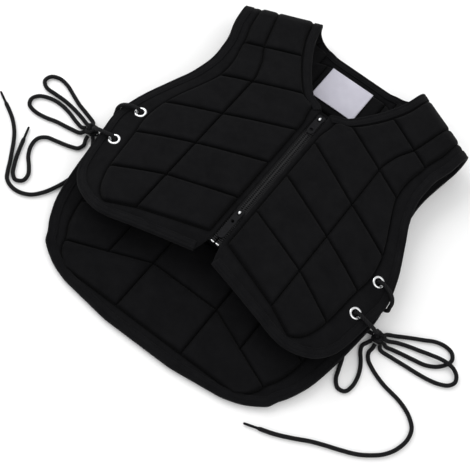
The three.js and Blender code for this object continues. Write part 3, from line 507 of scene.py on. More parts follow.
def add_mesh(name, points, faces, look, slot=None):
    """A smooth mesh that rides on the vest; faces are rows of point numbers."""
    mesh = bpy.data.meshes.new(name)
    mesh.from_pydata(np.asarray(points).tolist(), [], [list(face) for face in faces])
    mesh.polygons.foreach_set("use_smooth", [True] * len(mesh.polygons))
    mesh.materials.append(LOOKS[look])
    mesh.update()
    made = bpy.data.objects.new(name, mesh)
    bpy.context.scene.collection.objects.link(made)
    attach(made, "vest")
    return made


def set_values(made, name, values):
    """Gives each point of a mesh a value that its look reads."""
    made.data.attributes.new(name, "FLOAT", "POINT").data.foreach_set("value", np.ravel(values))


def soften(made, width):
    """Bevels the edges of a piece of moulded or cast shape."""
    bevel = made.modifiers.new("bevel", "BEVEL")
    bevel.width = width
    bevel.segments = BEVEL["segments"]
    bevel.limit_method = "ANGLE"
    bevel.angle_limit = math.radians(BEVEL["angle"])
    bevel.harden_normals = True
    return made


def unit(vectors):
    return vectors / np.linalg.norm(vectors, axis=-1, keepdims=True)


def smoothstep(value, low, high):
    t = np.clip((value - low) / (high - low), 0, 1)
    return t * t * (3 - 2 * t)


def value_noise(u, v, seed):
    """Smooth seeded noise from -1 to 1 over two coordinates."""
    lattice = np.random.default_rng(seed).uniform(-1, 1, (NOISE_CELLS, NOISE_CELLS))
    column, row = np.floor(u).astype(int), np.floor(v).astype(int)
    s, t = smoothstep(u - column, 0, 1), smoothstep(v - row, 0, 1)

    def corner(i, j):
        return lattice[(column + i) % NOISE_CELLS, (row + j) % NOISE_CELLS]

    low = corner(0, 0) * (1 - s) + corner(1, 0) * s
    high = corner(0, 1) * (1 - s) + corner(1, 1) * s
    return low * (1 - t) + high * t


def spread(low, high, step):
    """Places from low to high about a step apart, closer together near both ends."""
    count = max(LEAST_STEPS, round(abs(high - low) / step))
    t = np.linspace(0, 1, count + 1)
    return low + (high - low) * (t - CROWDING * np.sin(2 * np.pi * t) / (2 * np.pi))


def chained(stops, step):
    """Places through several stops, each stop kept once."""
    runs = [spread(a, b, step) for a, b in zip(stops, stops[1:])]
    return np.concatenate([runs[0]] + [run[1:] for run in runs[1:]])


def grid_faces(kept, wide):
    """Faces of both sides of a grid, and a wall round the kept cells. The second side follows."""
    rows, columns = np.nonzero(kept)
    a = rows * wide + columns
    b, c, d = a + 1, a + wide + 1, a + wide
    under = (kept.shape[0] + 1) * wide
    faces = [np.stack([a, b, c, d], 1), np.stack([d, c, b, a], 1) + under]
    padded = np.pad(kept, 1)
    sides = (((0, 1), a, b), ((1, 2), b, c), ((2, 1), c, d), ((1, 0), d, a))
    for (down, across), start, end in sides:
        bare = ~padded[rows + down, columns + across]
        start, end = start[bare], end[bare]
        faces.append(np.stack([end, start, start + under, end + under], 1))
    return np.concatenate(faces)


def grid_solid(name, top, bottom, look, kept=None, clear_of_painted_shade=None):
    """Closed mesh between two grids of points; the last argument tells how clear of a seam each point is,
    which sets the shade painted into the cloth along its seams.
    """
    if kept is None:
        kept = np.ones((top.shape[0] - 1, top.shape[1] - 1), bool)
    points = np.concatenate([top.reshape(-1, 3), bottom.reshape(-1, 3)])
    faces = grid_faces(kept, top.shape[1])
    used, compact = np.unique(faces, return_inverse=True)
    made = add_mesh(name, points[used], compact.reshape(faces.shape), look)
    if clear_of_painted_shade is not None:
        set_values(made, "open", np.tile(clear_of_painted_shade.ravel(), 2)[used])
    return made


def sweep(rings, closed=False):
    """Points and faces of a skin through rings of points, capped unless it closes on itself."""
    count, sides = rings.shape[:2]
    index = np.arange(count * sides).reshape(count, sides)
    if closed:
        index = np.concatenate([index, index[:1]])
    a, d = index[:-1], index[1:]
    b, c = np.roll(a, -1, 1), np.roll(d, -1, 1)
    faces = np.stack([a, b, c, d], -1).reshape(-1, 4).tolist()
    if not closed:
        faces += [index[0][::-1].tolist(), index[-1].tolist()]
    return rings.reshape(-1, 3), faces


def merged(parts):
    """Several pieces of points and faces as one."""
    points, faces, count = [], [], 0
    for part_points, part_faces in parts:
        points.append(part_points)
        faces += [[count + k for k in face] for face in part_faces]
        count += len(part_points)
    return np.concatenate(points), faces


def along(points):
    """Unit directions along a line of points."""
    return unit(np.gradient(points, axis=0))


def lengths(points):
    steps = np.linalg.norm(np.diff(points, axis=0), axis=1)
    return np.concatenate([[0], np.cumsum(steps)])


def resampled(points, step, *others):
    """A line of points, and values that go with it, at even steps."""
    reach = lengths(points)
    places = np.linspace(0, reach[-1], max(2, round(reach[-1] / step) + 1))

    def read(values):
        return np.stack([np.interp(places, reach, values[:, k]) for k in range(values.shape[1])], 1)

    return [read(values) for values in (points, *others)]


def eased(values, rounds):
    """A line of points with its corners eased and its ends kept."""
    values = values.copy()
    for _ in range(rounds):
        values[1:-1] = (values[:-2] + 2 * values[1:-1] + values[2:]) / 4
    return values


def turns(count):
    """Angles at even steps round a full turn."""
    return np.linspace(0, 2 * np.pi, count, endpoint=False)


def lathe(profile, sides):
    """Rings of a profile of radius and height pairs turned about +Z."""
    turn = turns(sides)
    profile = np.array(profile)
    x = profile[:, 0] * np.cos(turn)[:, None]
    y = profile[:, 0] * np.sin(turn)[:, None]
    z = np.broadcast_to(profile[:, 1], x.shape)
    return np.stack([x, y, z], -1)


def rectangle(x, y):
    """Corners of a rectangle between two places each way."""
    return [(x[0], y[0]), (x[1], y[0]), (x[1], y[1]), (x[0], y[1])]


def prism(outline, low, high, chamfer):
    """Points and faces of a plate with a chamfer round both faces."""
    outline = np.array(outline)
    x, y = outline.T
    if np.sum(x * np.roll(y, -1) - y * np.roll(x, -1)) < 0:
        outline = outline[::-1]
    middle = outline.mean(0)
    shrunk = middle + (outline - middle) * (1 - chamfer / np.abs(outline - middle).max(0))
    levels = ((shrunk, low), (outline, low + chamfer), (outline, high - chamfer), (shrunk, high))
    return sweep(np.array([np.insert(shape, 2, height, axis=1) for shape, height in levels]))


# Panels


def fold_turn(angle):
    """How far a turn round the shoulder fold reaches along Y."""
    return FOLD_RADIUS * np.sin(np.radians(angle))


def fold_place(x, y, height, angle):
    flat = (angle == 0) | (angle == 180)
    raised = np.where(flat, height, FOLD_HEIGHT + FOLD_RADIUS * np.cos(np.radians(angle)))
    return np.stack(np.broadcast_arrays(x, y + fold_turn(angle) + FRAME_Y, raised), -1)


def front_place(x, level, angle):
    """Middle surface of a front: a place across, a level, and a turn round the shoulder fold."""
    across = np.abs(x)
    away = across - FRONT_CHANNEL
    slope = np.where(away < 0, FRONT.at("rise", level), FRONT.at("fall", level))
    flat = smoothstep(level, FRONT_FLAT_START, FRONT_FOLD)
    drop = FRONT_SIDE_DROP * (across / CHEST_HALF) ** 3 * (1 - flat)
    return fold_place(x, level - slope * away, FRONT_HEIGHT - drop, angle)


def back_place(x, level, angle):
    """Middle surface of the back, whose sides the lacing lifts off the floor."""
    across = np.abs(x)
    away = np.maximum(across - BACK_MIDDLE, 0)
    lifted = 1 - smoothstep(level, *BACK_RISE_FADE)
    out = np.maximum(across - BACK_RISE_START, 0) / (CHEST_HALF - BACK_RISE_START)
    height = BACK_HEIGHT + BACK_SIDE_RISE * out ** 2 * lifted
    return fold_place(x, level - BACK.at("fall", level) * away, height, angle)


def surface(place, x, level, angle):
    """Points of a panel's middle surface and its unit normals, which face out on the front."""
    x, level, angle = np.broadcast_arrays(x, level, angle)
    across = place(x + SLOPE_STEP, level, angle) - place(x - SLOPE_STEP, level, angle)
    flat = place(x, level + SLOPE_STEP, angle) - place(x, level - SLOPE_STEP, angle)
    turn = np.radians(angle)
    sign = -1.0 if place is back_place else 1.0
    folded = np.stack([np.zeros(angle.shape), sign * np.cos(turn), -sign * np.sin(turn)], -1)
    in_fold = ((angle != 0) & (angle != 180))[..., None]
    return place(x, level, angle), unit(np.cross(across, np.where(in_fold, folded, flat)))


def fold_rows(levels, fold, start, end):
    """Levels and turns of a panel's rows: flat ones up to the fold, then turned ones round it."""
    reach = FOLD_RADIUS * math.radians(abs(end - start))
    angles = np.linspace(start, end, max(LEAST_FOLD_STEPS, round(reach / GRID_STEP)) + 1)[1:]
    rows = np.concatenate([levels, np.full(len(angles), fold)])
    return rows, np.concatenate([np.full(len(levels), float(start)), angles])


def pillow(distances):
    """Half thickness of a quilted cell from its distances to the seams round it."""
    near = sum(np.clip(1 - d / CELL_ROUND, 0, 1) ** CORNER_POWER for d in distances)
    near = np.clip(near, 0, 1) ** (1 / CORNER_POWER)
    return BORDER_HALF + (CELL_HALF - BORDER_HALF) * (1 - near ** ROUND_POWER) ** (1 / ROUND_POWER)


def sewn(half, seam_gap, border, edge):
    """Half thickness with a dip at each seam and a slight puff in the flat border beside the tape."""
    dip = SEAM_DIP * np.exp(-(seam_gap / SEAM_REACH) ** 2)
    puff = BORDER_PUFF * (1 - np.exp(-(seam_gap / PUFF_REACH) ** 2))
    puff = puff * smoothstep(edge, BINDING["width"], BINDING["width"] + PUFF_START)
    return half - dip + np.where(border, puff, 0)


def edge_taper(gap):
    """Share of the thickness near a bare edge, which is rounded."""
    t = np.clip(gap / EDGE_ROUND, 0, 1)
    return EDGE_SHARE + (1 - EDGE_SHARE) * np.sqrt(1 - (1 - t) ** 2)


class Quilt:
    """Thickness of a quilted panel, from the distances of its points to the seams and edges.

    gaps: inwards from each seam round a cell, rows first; row: number of the nearest row; seam_gap: to the
    nearest seam that isn't a row; inside: in from the flat border; edge: in from the panel's edge.
    """

    def __init__(self, gaps, angle, row, seam_gap, inside, edge):
        self.row_gap, self.row, self.seam_gap = gaps[0], row, seam_gap
        thin = 1 - FOLD_THINNING * np.sin(np.radians(angle))
        half = BORDER_HALF + (pillow(gaps) - BORDER_HALF) * thin
        sewn_gap = np.where(inside < 0, -inside, np.minimum.reduce([seam_gap, gaps[0], inside]))
        self.half = sewn(half, sewn_gap, inside < 0, edge)
        self.taper = edge_taper(edge)
        # Share of each point clear of the seams, which the shell's look reads to paint shade into the sewn
        # channels.
        self.open = 1 - np.exp(-(sewn_gap / SEAM_SHADE) ** 2)

    def uneven(self, across, level, seed):
        """Half thickness with small puckers along the seams and a slow swell over each cell."""
        rows = value_noise(across / PUCKER_PITCH, self.row * ROW_NOISE + ROW_NOISE_START, seed)
        seams = value_noise(level / PUCKER_PITCH, across * SEAM_NOISE, seed + 1)
        swell = value_noise(across / SWELL_PITCH, level / SWELL_PITCH, seed + 2)
        pucker = rows * np.exp(-self.row_gap / PUCKER_REACH) + seams * np.exp(-self.seam_gap / PUCKER_REACH)
        full = (self.half - BORDER_HALF) / (CELL_HALF - BORDER_HALF)
        share = BORDER_PUCKER + (1 - BORDER_PUCKER) * full
        return (self.half + PUCKER * pucker * share + SWELL * swell * full) * self.taper


def nearest(values, lines):
    """Distance to the nearest line, and that line's number."""
    gaps = np.abs(values[..., None] - np.array(lines))
    return gaps.min(-1), gaps.argmin(-1)


def row_slope(slope):
    """Share of a distance along Y that is square to a sloping row."""
    return 1 / np.sqrt(1 + slope ** 2)


def neighbours(grid):
    """The four shifted views of a grid that meet between its places."""
    return [grid[1:, 1:], grid[1:, :-1], grid[:-1, 1:], grid[:-1, :-1]]


def pierce(points):
    """Opens round eyelet holes in a grid: moves the points at each rim and returns the kept cells."""
    kept = np.ones((points.shape[0] - 1, points.shape[1] - 1), bool)
    for x in (EYELET["x"], -EYELET["x"]):
        for y in EYELET["levels"]:
            offset = points[..., :2] - (x, y + FRAME_Y)
            gap = np.linalg.norm(offset, axis=-1)
            cut = sum(neighbours(gap)) / 4 < EYELET["hole"]
            kept &= ~cut
            touching = neighbours(np.pad(cut, 1))
            rim = np.any(touching, axis=0) & ~np.all(touching, axis=0)
            points[rim, :2] += offset[rim] * (EYELET["hole"] / gap[rim] - 1)[:, None]
    return kept


def columns(stops, counts):
    """Places across a panel at each row, through its stops and with a count of steps between them."""
    runs = []
    for start, end, count in zip(stops, stops[1:], counts):
        t = spread(0, 1, 1 / count)[:-1]
        runs.append(start[:, None] + (end - start)[:, None] * t)
    return np.concatenate([*runs, stops[-1][:, None]], 1)


def front_edge(name, level, angle):
    """One column of a front's sections at its rows, which take the back's past the shoulder's top."""
    turned = fold_turn(angle)
    return np.where(angle > 90, BACK.at(name, BACK_FOLD + turned), FRONT.at(name, level + turned))


def inner_border(level):
    """Flat width along the zip, which widens towards the neck to take the binding there."""
    return ZIP_BORDER + (NECK_BORDER - ZIP_BORDER) * smoothstep(level, ZIP_BORDER_END, FRONT_NECK)


def front_lines(level, angle):
    """Places across a front of its inner edge, border, channel, border and outer edge."""
    inner, channel, border, outer = (front_edge(name, level, angle) for name in LINE_NAMES)
    return [inner, inner + inner_border(level), channel, outer - border, outer]


def front_rows():
    """Levels and turns of a front's rows."""
    levels = chained((FRONT_HEM, FRONT_BORDER, *FRONT_LINES, FRONT_FOLD), GRID_STEP)
    return fold_rows(levels, FRONT_FOLD, 0, SEAM_ANGLE - SEAM_GAP_ANGLE)


def front_quilt(across, level, angle):
    """Thickness of a front, with its cells, flat borders and seam."""
    inner, inner_line, channel, outer_line, outer = front_lines(level, angle)
    lean = row_slope(np.where(across < FRONT_CHANNEL, FRONT.at("rise", level), FRONT.at("fall", level)))
    arc = FOLD_RADIUS * np.radians(angle)
    row_gap, row = nearest(level + arc, FRONT_LINES)
    to_channel = np.abs(across - channel)
    to_inner, to_outer = across - inner_line, outer_line - across
    to_hem = (level - FRONT_BORDER) * lean
    to_seam = FOLD_RADIUS * np.radians(SEAM_ANGLE) - arc
    gaps = [row_gap * lean, to_channel, to_inner, to_outer, to_hem, to_seam]
    seam_gap = np.minimum.reduce([to_channel, np.abs(to_inner), np.abs(to_outer)])
    inside = np.minimum.reduce([to_inner, to_outer, to_hem])
    edge = np.minimum.reduce([across - inner, outer - across, (level - FRONT_HEM) * lean])
    return Quilt(gaps, angle, row, seam_gap, inside, edge)


def add_front(name, side):
    level, angle = front_rows()
    across = columns(front_lines(level, angle), FRONT_COUNTS)
    level, angle = (np.broadcast_to(v[:, None], across.shape) for v in (level, angle))
    quilt = front_quilt(across, level, angle)
    outside, inside = (quilt.uneven(across, level + FOLD_NOISE * angle, seed) for seed in SEEDS[name])
    points, normals = surface(front_place, side * across[:, ::side], level, angle)
    kept = pierce(points)
    top = points + normals * outside[:, ::side, None]
    bottom = points - normals * inside[:, ::side, None]
    panel = grid_solid(f"quilt_front_{name}", top, bottom, "shell", kept, quilt.open[:, ::side])
    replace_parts(panel, f"front_panel_{name}")


def back_rows():
    """Levels and turns of the back's rows, and how far up each reaches."""
    stops = (BACK_HEM, BACK_BORDER, *BACK_LINES, BACK_NECK_LINE, BACK_NECK, BACK_FOLD)
    levels = chained(stops, GRID_STEP * BACK_COARSER)
    level, angle = fold_rows(levels, BACK_FOLD, 180, SEAM_ANGLE + SEAM_GAP_ANGLE)
    return level, angle, level + fold_turn(angle)


def back_lines(reach):
    """Places across half of the back of its inner edge, neck border, channel, border and outer edge."""
    inner, channel, border, outer = (BACK.at(name, reach) for name in LINE_NAMES)
    return [inner, inner + NECK_BORDER, channel, outer - border, outer]


def back_quilt(across, level, angle, reach):
    """Thickness of the back, with its cells, flat borders and seams."""
    inner, neck_line, channel, outer_line, outer = back_lines(reach)
    lean = row_slope(np.where(across > BACK_MIDDLE, BACK.at("fall", level), 0))
    arc = FOLD_RADIUS * np.radians(180 - angle)
    row_gap, row = nearest(level + arc, BACK_LINES)
    to_middle = np.where(level < BACK_NECK_LINE, np.abs(across - BACK_MIDDLE), FAR)
    to_channel = np.hypot(across - channel, np.maximum(BACK_LINES[0] - level, 0))
    to_neck = np.maximum(across - neck_line, BACK_NECK_LINE - level)
    to_outer = outer_line - across
    to_hem = (level - BACK_BORDER) * lean
    to_seam = FOLD_RADIUS * np.radians(180 - SEAM_ANGLE) - arc
    gaps = [row_gap * lean, to_middle, to_channel, to_neck, to_outer, to_hem, to_seam]
    seam_gap = np.minimum.reduce([to_middle, to_channel, np.abs(to_outer), np.abs(to_neck)])
    strap = np.where(level >= BACK_NECK, across - inner, FAR)
    neck = np.abs(np.where(across < BACK_MIDDLE, BACK_NECK - level, strap))
    edge = np.minimum.reduce([outer - across, (level - BACK_HEM) * lean, neck])
    return Quilt(gaps, angle, row, seam_gap, np.minimum(to_outer, to_hem), edge)


def add_back():
    level, angle, reach = back_rows()
    half = columns([np.zeros_like(reach), *back_lines(reach)], BACK_COUNTS)
    x = np.concatenate([-half[:, :0:-1], half], 1)
    level, angle, reach = (np.broadcast_to(v[:, None], x.shape) for v in (level, angle, reach))
    quilt = back_quilt(np.abs(x), level, angle, reach)
    outside, inside = (quilt.uneven(x + BACK_NOISE, level + BACK_NOISE, seed) for seed in SEEDS["back"])
    points, normals = surface(back_place, x, level, angle)
    kept = pierce(points)
    top = points + normals * inside[..., None]
    bottom = points - normals * outside[..., None]
    bottom[..., 2] = np.maximum(bottom[..., 2], FLOOR_CLEAR)
    centre, opening = x.shape[1] // 2, BACK_COUNTS[0]
    kept[:, centre - opening:centre + opening] &= level[:-1, :1] < BACK_NECK - TINY
    panel = grid_solid("quilt_back", top, bottom, "shell", kept, quilt.open)
    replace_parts(panel, "back_panel")


# Bindings and stitches


def front_outline(side):
    """Hem and outer edge of a front, from the zip round to the shoulder seam."""
    level, angle = front_rows()
    inner, outer = FRONT.at("inner", FRONT_HEM), FRONT.at("outer", FRONT_HEM)
    hem = np.linspace(inner, outer, POINTS["hem"])[:-1]
    x = np.concatenate([hem, front_edge("outer", level, angle)])
    level = np.concatenate([np.full(len(hem), FRONT_HEM), level])
    angle = np.concatenate([np.zeros(len(hem)), angle])
    return surface(front_place, side * x, level, angle)


def front_neckline(side):
    level, angle = front_rows()
    used = level >= FRONT_NECK
    level, angle = level[used], angle[used]
    return surface(front_place, side * front_edge("inner", level, angle), level, angle)


def across_back(x, level, angle, crossing, count):
    """A line down one side of the back, straight across at a level, and up the other side."""
    middle = np.linspace(x[0], -x[0], count)[1:-1]
    xs = np.concatenate([x[::-1], middle, -x])
    levels = np.concatenate([level[::-1], np.full(len(middle), crossing), level])
    angles = np.concatenate([angle[::-1], np.full(len(middle), 180.0), angle])
    return surface(back_place, xs, levels, angles)


def back_outline():
    level, angle, reach = back_rows()
    return across_back(-BACK.at("outer", reach), level, angle, BACK_HEM, POINTS["back_hem"])


def back_neckline():
    level, angle, reach = back_rows()
    used = level >= BACK_NECK - TINY
    x = BACK.at("inner", reach[used])
    return across_back(x, level[used], angle[used], BACK_NECK, POINTS["back_neck"])


def binding_section():
    """Outline of the folded tape as depth in from the edge and height, outside first."""
    width, inner = BINDING["width"], BORDER_HALF + BINDING["seat"]
    depth = np.linspace(width, 0, POINTS["binding"])
    sunk = sum(np.exp(-((depth - seam) / BINDING["sink_reach"]) ** 2) for seam in BINDING["seams"])
    height = BINDING_HALF - BINDING["sink"] * sunk
    height[0] = inner + BINDING["lip"]
    turn = np.radians(np.linspace(BINDING["rim_turn"], -BINDING["rim_turn"], POINTS["binding_rim"]))
    rim = np.stack([(BORDER_HALF - BINDING_HALF) * np.cos(turn), BINDING_HALF * np.sin(turn)], 1)
    upper = np.stack([depth, height], 1)
    lining = np.array([(width, -inner), (0.0, -inner), (0.0, inner), (width, inner)])
    return np.concatenate([upper, rim, upper[::-1] * (1, -1), lining])


def binding_path(points, normals):
    """Even steps along an edge, eased at its corners, with the way in from the edge."""
    points, normals = resampled(points, BINDING["step"], normals)
    points, normals = eased(points, BINDING["easing"]), unit(eased(normals, BINDING["easing"]))
    return points, normals, unit(np.cross(normals, along(points)))


def add_binding(name, node, path, runs):
    """Folded tape round an edge, with two rows of stitches on both faces added to runs."""
    points, normals, inward = binding_path(*path)
    section = binding_section()
    row = np.full(len(points), BINDING["sway_row"])
    sway = value_noise(lengths(points) / BINDING["sway_pitch"], row, len(name))
    lift = 1 + BINDING["sway"] * sway[:, None]
    rings = points[:, None] + inward[:, None] * section[None, :, :1]
    rings = rings + normals[:, None] * (section[None, :, 1] * lift)[..., None]
    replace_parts(add_mesh(name, *sweep(rings), "binding"), node)
    height = BINDING_HALF - STITCH["sunk"]
    for seam in BINDING["seams"]:
        for face in (1, -1):
            runs.append((points + inward * seam + normals * face * height, normals * face))


def add_stitches(name, runs, look):
    """Short thread stitches along runs of points with their normals, clear of the ends, as one mesh."""
    lines = []
    for points, normals in runs:
        points, normals = resampled(points, STITCH["pitch"], normals)
        lines.append([line[1:-1] for line in (points, along(points), unit(normals))])
    centre, direction, up = (np.concatenate(line) for line in zip(*lines))
    beside = unit(np.cross(direction, up))
    up = np.cross(beside, direction)
    half, radius = STITCH["length"] / 2, STITCH["radius"]
    corners = [centre - direction * half - up * radius]
    for place in (-STITCH["shoulder"], STITCH["shoulder"]):
        for turn in (0, 0.5, 1, 1.5):
            way = beside * math.cos(turn * math.pi) + up * math.sin(turn * math.pi)
            corners.append(centre + direction * place * half + way * radius)
    corners.append(centre + direction * half - up * radius)
    points = np.stack(corners, 1)
    pattern = [(0, 1 + (k + 1) % 4, 1 + k) for k in range(4)]
    pattern += [(1 + k, 1 + (k + 1) % 4, 5 + (k + 1) % 4, 5 + k) for k in range(4)]
    pattern += [(5 + k, 5 + (k + 1) % 4, 9) for k in range(4)]
    faces = [tuple(len(corners) * i + k for k in face) for i in range(len(centre)) for face in pattern]
    add_mesh(name, points.reshape(-1, 3), faces, look, "binding")


def quilt_run(place, x, level, angle, face):
    """A line of stitches in a panel's seam on one face."""
    points, normals = surface(place, x, level, angle)
    return points + normals * face * (BORDER_HALF + STITCH["proud"]), normals * face


def front_seams(side):
    """Stitched lines of a front on its outer face: rows, channel and borders."""
    level, angle = front_rows()
    used = (angle < SEAM_ANGLE - SEAM_CLEAR_ANGLE) & (level >= FRONT_BORDER)
    level, angle = level[used], angle[used]
    runs = [quilt_run(front_place, side * x, level, angle, 1) for x in front_lines(level, angle)[1:-1]]
    for line in (FRONT_BORDER, *FRONT_LINES):
        _, start, _, end, _ = front_lines(line, 0)
        x = np.linspace(start, end, POINTS["front_line"])
        runs.append(quilt_run(front_place, side * x, line, 0, 1))
    return runs


def back_seams(face):
    """Stitched lines of the back on one face."""
    level, angle, reach = back_rows()
    _, neck_line, channel, outer_line, _ = back_lines(reach)
    middle = np.full(len(level), BACK_MIDDLE)
    downs = ((middle, BACK_BORDER, BACK_NECK_LINE), (channel, BACK_LINES[0], FAR),
             (outer_line, BACK_BORDER, FAR), (neck_line, BACK_NECK_LINE, FAR))
    runs = []
    for x, low, high in downs:
        used = (level >= low) & (level <= high)
        for side in (1, -1):
            runs.append(quilt_run(back_place, side * x[used], level[used], angle[used], face))
    crossing = [(BACK_NECK_LINE, BACK_MIDDLE + NECK_BORDER, POINTS["neck_line"])]
    for line in (BACK_BORDER, *BACK_LINES):
        crossing.append((line, back_lines(line)[3], POINTS["back_line"]))
    for line, end, count in crossing:
        runs.append(quilt_run(back_place, np.linspace(-end, end, count), line, 180, face))
    return runs


def add_trim():
    """Bindings of every edge, with their stitches and those of the quilting."""
    runs = []
    for name, side in SIDES.items():
        edge = [line[::side] for line in front_outline(side)]
        neck = [line[::-side] for line in front_neckline(side)]
        add_binding(f"tape_edge_{name}", f"edge_binding_{name}", edge, runs)
        add_binding(f"tape_neck_{name}", f"neck_binding_{name}", neck, runs)
        add_stitches(f"stitches_front_{name}", front_seams(side), "shaded_quilt_thread")
    add_binding("tape_edge_back", "edge_binding_back", back_outline(), runs)
    add_binding("tape_neck_back", "neck_binding_back", back_neckline(), runs)
    add_stitches("stitches_back", back_seams(1) + back_seams(-1), "shaded_quilt_thread")
    add_stitches("stitches_tape", runs, "thread")


# Eyelets and label


def level_at(place, across, y):
    """Level of the row that passes through a point."""
    levels = np.linspace(BACK_HEM, BACK_NECK, POINTS["levels"])
    return np.interp(y, place(across, levels, 0.0)[:, 1] - FRAME_Y, levels)


def add_eyelet(name, node, place, angle, side, y):
    """Rolled metal eyelet: a round flange on each face and a barrel through the panel."""
    bore, flange, barrel, gap = (EYELET[key] for key in ("bore", "flange", "barrel", "gap"))
    seat = BORDER_HALF + gap
    middle = (bore + flange) / 2
    turn = np.radians(np.linspace(180, 0, POINTS["eyelet_roll"]))
    roll = np.stack([middle + (flange - middle) * np.cos(turn), seat + EYELET["crest"] * np.sin(turn)], 1)
    profile = [(bore, -seat), *roll, (barrel, BORDER_HALF), (barrel, -BORDER_HALF), *(roll[::-1] * (1, -1))]
    points, faces = sweep(lathe(profile, POINTS["eyelet"]), closed=True)
    level = level_at(place, EYELET["x"], y)
    centre, normal = surface(place, side * EYELET["x"], level, float(angle))
    across = unit(np.cross((0.0, 1.0, 0.0), normal))
    turned = np.stack([across, np.cross(normal, across), normal])
    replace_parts(add_mesh(name, points @ turned + centre, faces, "eyelet"), node)


def add_eyelets():
    for name, side in SIDES.items():
        for place, y in zip(("upper", "lower"), EYELET["levels"]):
            for panel, middle, angle in (("front", front_place, 0), ("back", back_place, 180)):
                where = f"{panel}_{name}_{place}"
                add_eyelet(f"ring_{where}", f"eyelet_{where}", middle, angle, side, y)


def add_label():
    """Blank woven label lying on the back's top cell, with its edges folded under."""
    width, length = LABEL["width"], LABEL["length"]
    wide, tall = (np.linspace(-0.5, 0.5, count) for count in POINTS["label"])
    across, up = np.meshgrid(wide * width, tall * length)
    x, y = across + LABEL["x"], up + LABEL["y"]
    bow = LABEL["bow"] * value_noise(x / LABEL["bow_pitch"], y / LABEL["bow_pitch"], SEEDS["label"])
    rim = np.minimum(width / 2 - np.abs(across), length / 2 - np.abs(up))
    fold = LABEL["fold"] * (1 - smoothstep(rim, *LABEL["fold_ends"]))
    height = BACK_HEIGHT + CELL_HALF + LABEL["lift"] + bow + fold
    bottom = np.stack([x, y + FRAME_Y, height], -1)
    label = grid_solid("label_blank", bottom + (0, 0, LABEL["thickness"]), bottom, "label")
    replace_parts(label, "neck_label")


# Zip


def tooth(side, y, shift):
    """One moulded tooth: a root on the tape, a neck, and a head that reaches past the middle."""
    outline = [*TOOTH_SIDE, *((x, -dy) for x, dy in TOOTH_SIDE[::-1])]
    shape = [(side * (x + shift), y + FRAME_Y + dy) for x, dy in outline]
    return prism(shape, TAPE_HEIGHT - TOOTH["half"], TAPE_HEIGHT + TOOTH["half"], TOOTH["chamfer"])


def add_teeth():
    """Closed teeth between the sliders, and each side's open teeth and stop below the lower one."""
    start = BOTTOM_SLIDER_Y - SLIDER["length"] / 2 + SLIDER["hides"]
    end = TOP_SLIDER_Y + SLIDER["length"] / 2 - SLIDER["hides"]
    pitch = TOOTH["pitch"]
    ys = start + pitch * np.arange(round((end - start) / pitch))
    closed = [tooth(1, y, 0) for y in ys] + [tooth(-1, y + pitch / 2, 0) for y in ys]
    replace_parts(add_mesh("zip_teeth_closed", *merged(closed), "teeth"), "zip_chain")
    low = np.arange(ZIP_BOTTOM + STOP["length"] + STOP["gap"], start - TOOTH["gap"], pitch)
    shifts = np.interp(low, (start - TOOTH["spread"], start), (TOOTH["open_shift"], TOOTH["first_shift"]))
    for name, side in SIDES.items():
        parts = [tooth(side, y + (side < 0) * pitch / 2, shift) for y, shift in zip(low, shifts)]
        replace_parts(add_mesh(f"zip_teeth_open_{name}", *merged(parts), "teeth"), f"zip_teeth_{name}")
        add_stop(name, side)


def add_stop(name, side):
    """Metal stop clamped on a tape below its last tooth."""
    across = [side * (TOOTH["open_shift"] + reach) for reach in STOP["reach"]]
    foot = ZIP_BOTTOM + FRAME_Y
    half = TOOTH["half"] + STOP["proud"]
    shape = rectangle(across, (foot, foot + STOP["length"]))
    plate = prism(shape, TAPE_HEIGHT - half, TAPE_HEIGHT + half, STOP["chamfer"])
    add_mesh(f"zip_stop_{name}", *plate, "eyelet")


def add_tapes():
    """Woven tape on each side, ribbed along its edge beside the teeth."""
    wide, tall = POINTS["tape"]
    x, y = np.meshgrid(np.linspace(*TAPE["across"], wide), np.linspace(ZIP_BOTTOM, ZIP_TOP, tall))
    rib = TAPE["rib"] * np.exp(-((x - TAPE["rib_x"]) / TAPE["rib_reach"]) ** 2)
    rib = rib + TAPE["ridge"] * np.cos(x * 2 * np.pi / TAPE["ridge_pitch"])
    wave_x, wave_y = TAPE["wave_pitch"]
    middle = TAPE_HEIGHT + TAPE["wave"] * value_noise(x / wave_x, y / wave_y, SEEDS["tape"])
    heights = (middle + TAPE["above"] + rib, middle - TAPE["below"] - rib)
    for name, side in SIDES.items():
        faces = [np.stack([side * x, y + FRAME_Y, height], -1)[:, ::side] for height in heights]
        tape = grid_solid(f"zip_tape_woven_{name}", *faces, "tape")
        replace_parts(tape, f"zip_tape_{name}")


def slider_outline():
    """Shield shape of a slider's plate: wide and notched at its mouth, round at its tail."""
    half, mouth, tail = SLIDER["length"] / 2, SLIDER["mouth"], SLIDER["tail"]
    notch, corner, (waist, hip) = SLIDER["notch"], SLIDER["corner"], SLIDER["waist"]
    right = [(0.0, half - notch), (notch, half), (mouth - corner, half), (mouth, half - notch),
             (mouth, waist), (tail, hip - half), (tail - notch, corner - half), (0.0, -half)]
    return right + [(-x, y) for x, y in right[-2:0:-1]]


def slider_wall(side):
    """Turned edge along one side of a slider's plate."""
    wall, (tail_y, mouth_y) = SLIDER["wall"], SLIDER["wall_ends"]
    tail, mouth = SLIDER["tail"], SLIDER["mouth"]
    shape = [(tail - wall, tail_y), (tail, tail_y), (mouth, mouth_y), (mouth - wall, mouth_y)]
    return [(side * x, y) for x, y in shape]


def crown_ring(y):
    """Round ring on a slider, standing across its middle."""
    turn = turns(POINTS["crown_section"])
    middle, reach = (CROWN["bore"] + CROWN["rim"]) / 2, (CROWN["rim"] - CROWN["bore"]) / 2
    profile = np.stack([middle + reach * np.cos(turn), CROWN["half"] * np.sin(turn)], 1)
    rings = lathe(profile, POINTS["crown"])
    placed = np.stack([rings[..., 2], rings[..., 0] + y + FRAME_Y, rings[..., 1] + PULL_HEIGHT], -1)
    return sweep(placed, closed=True)


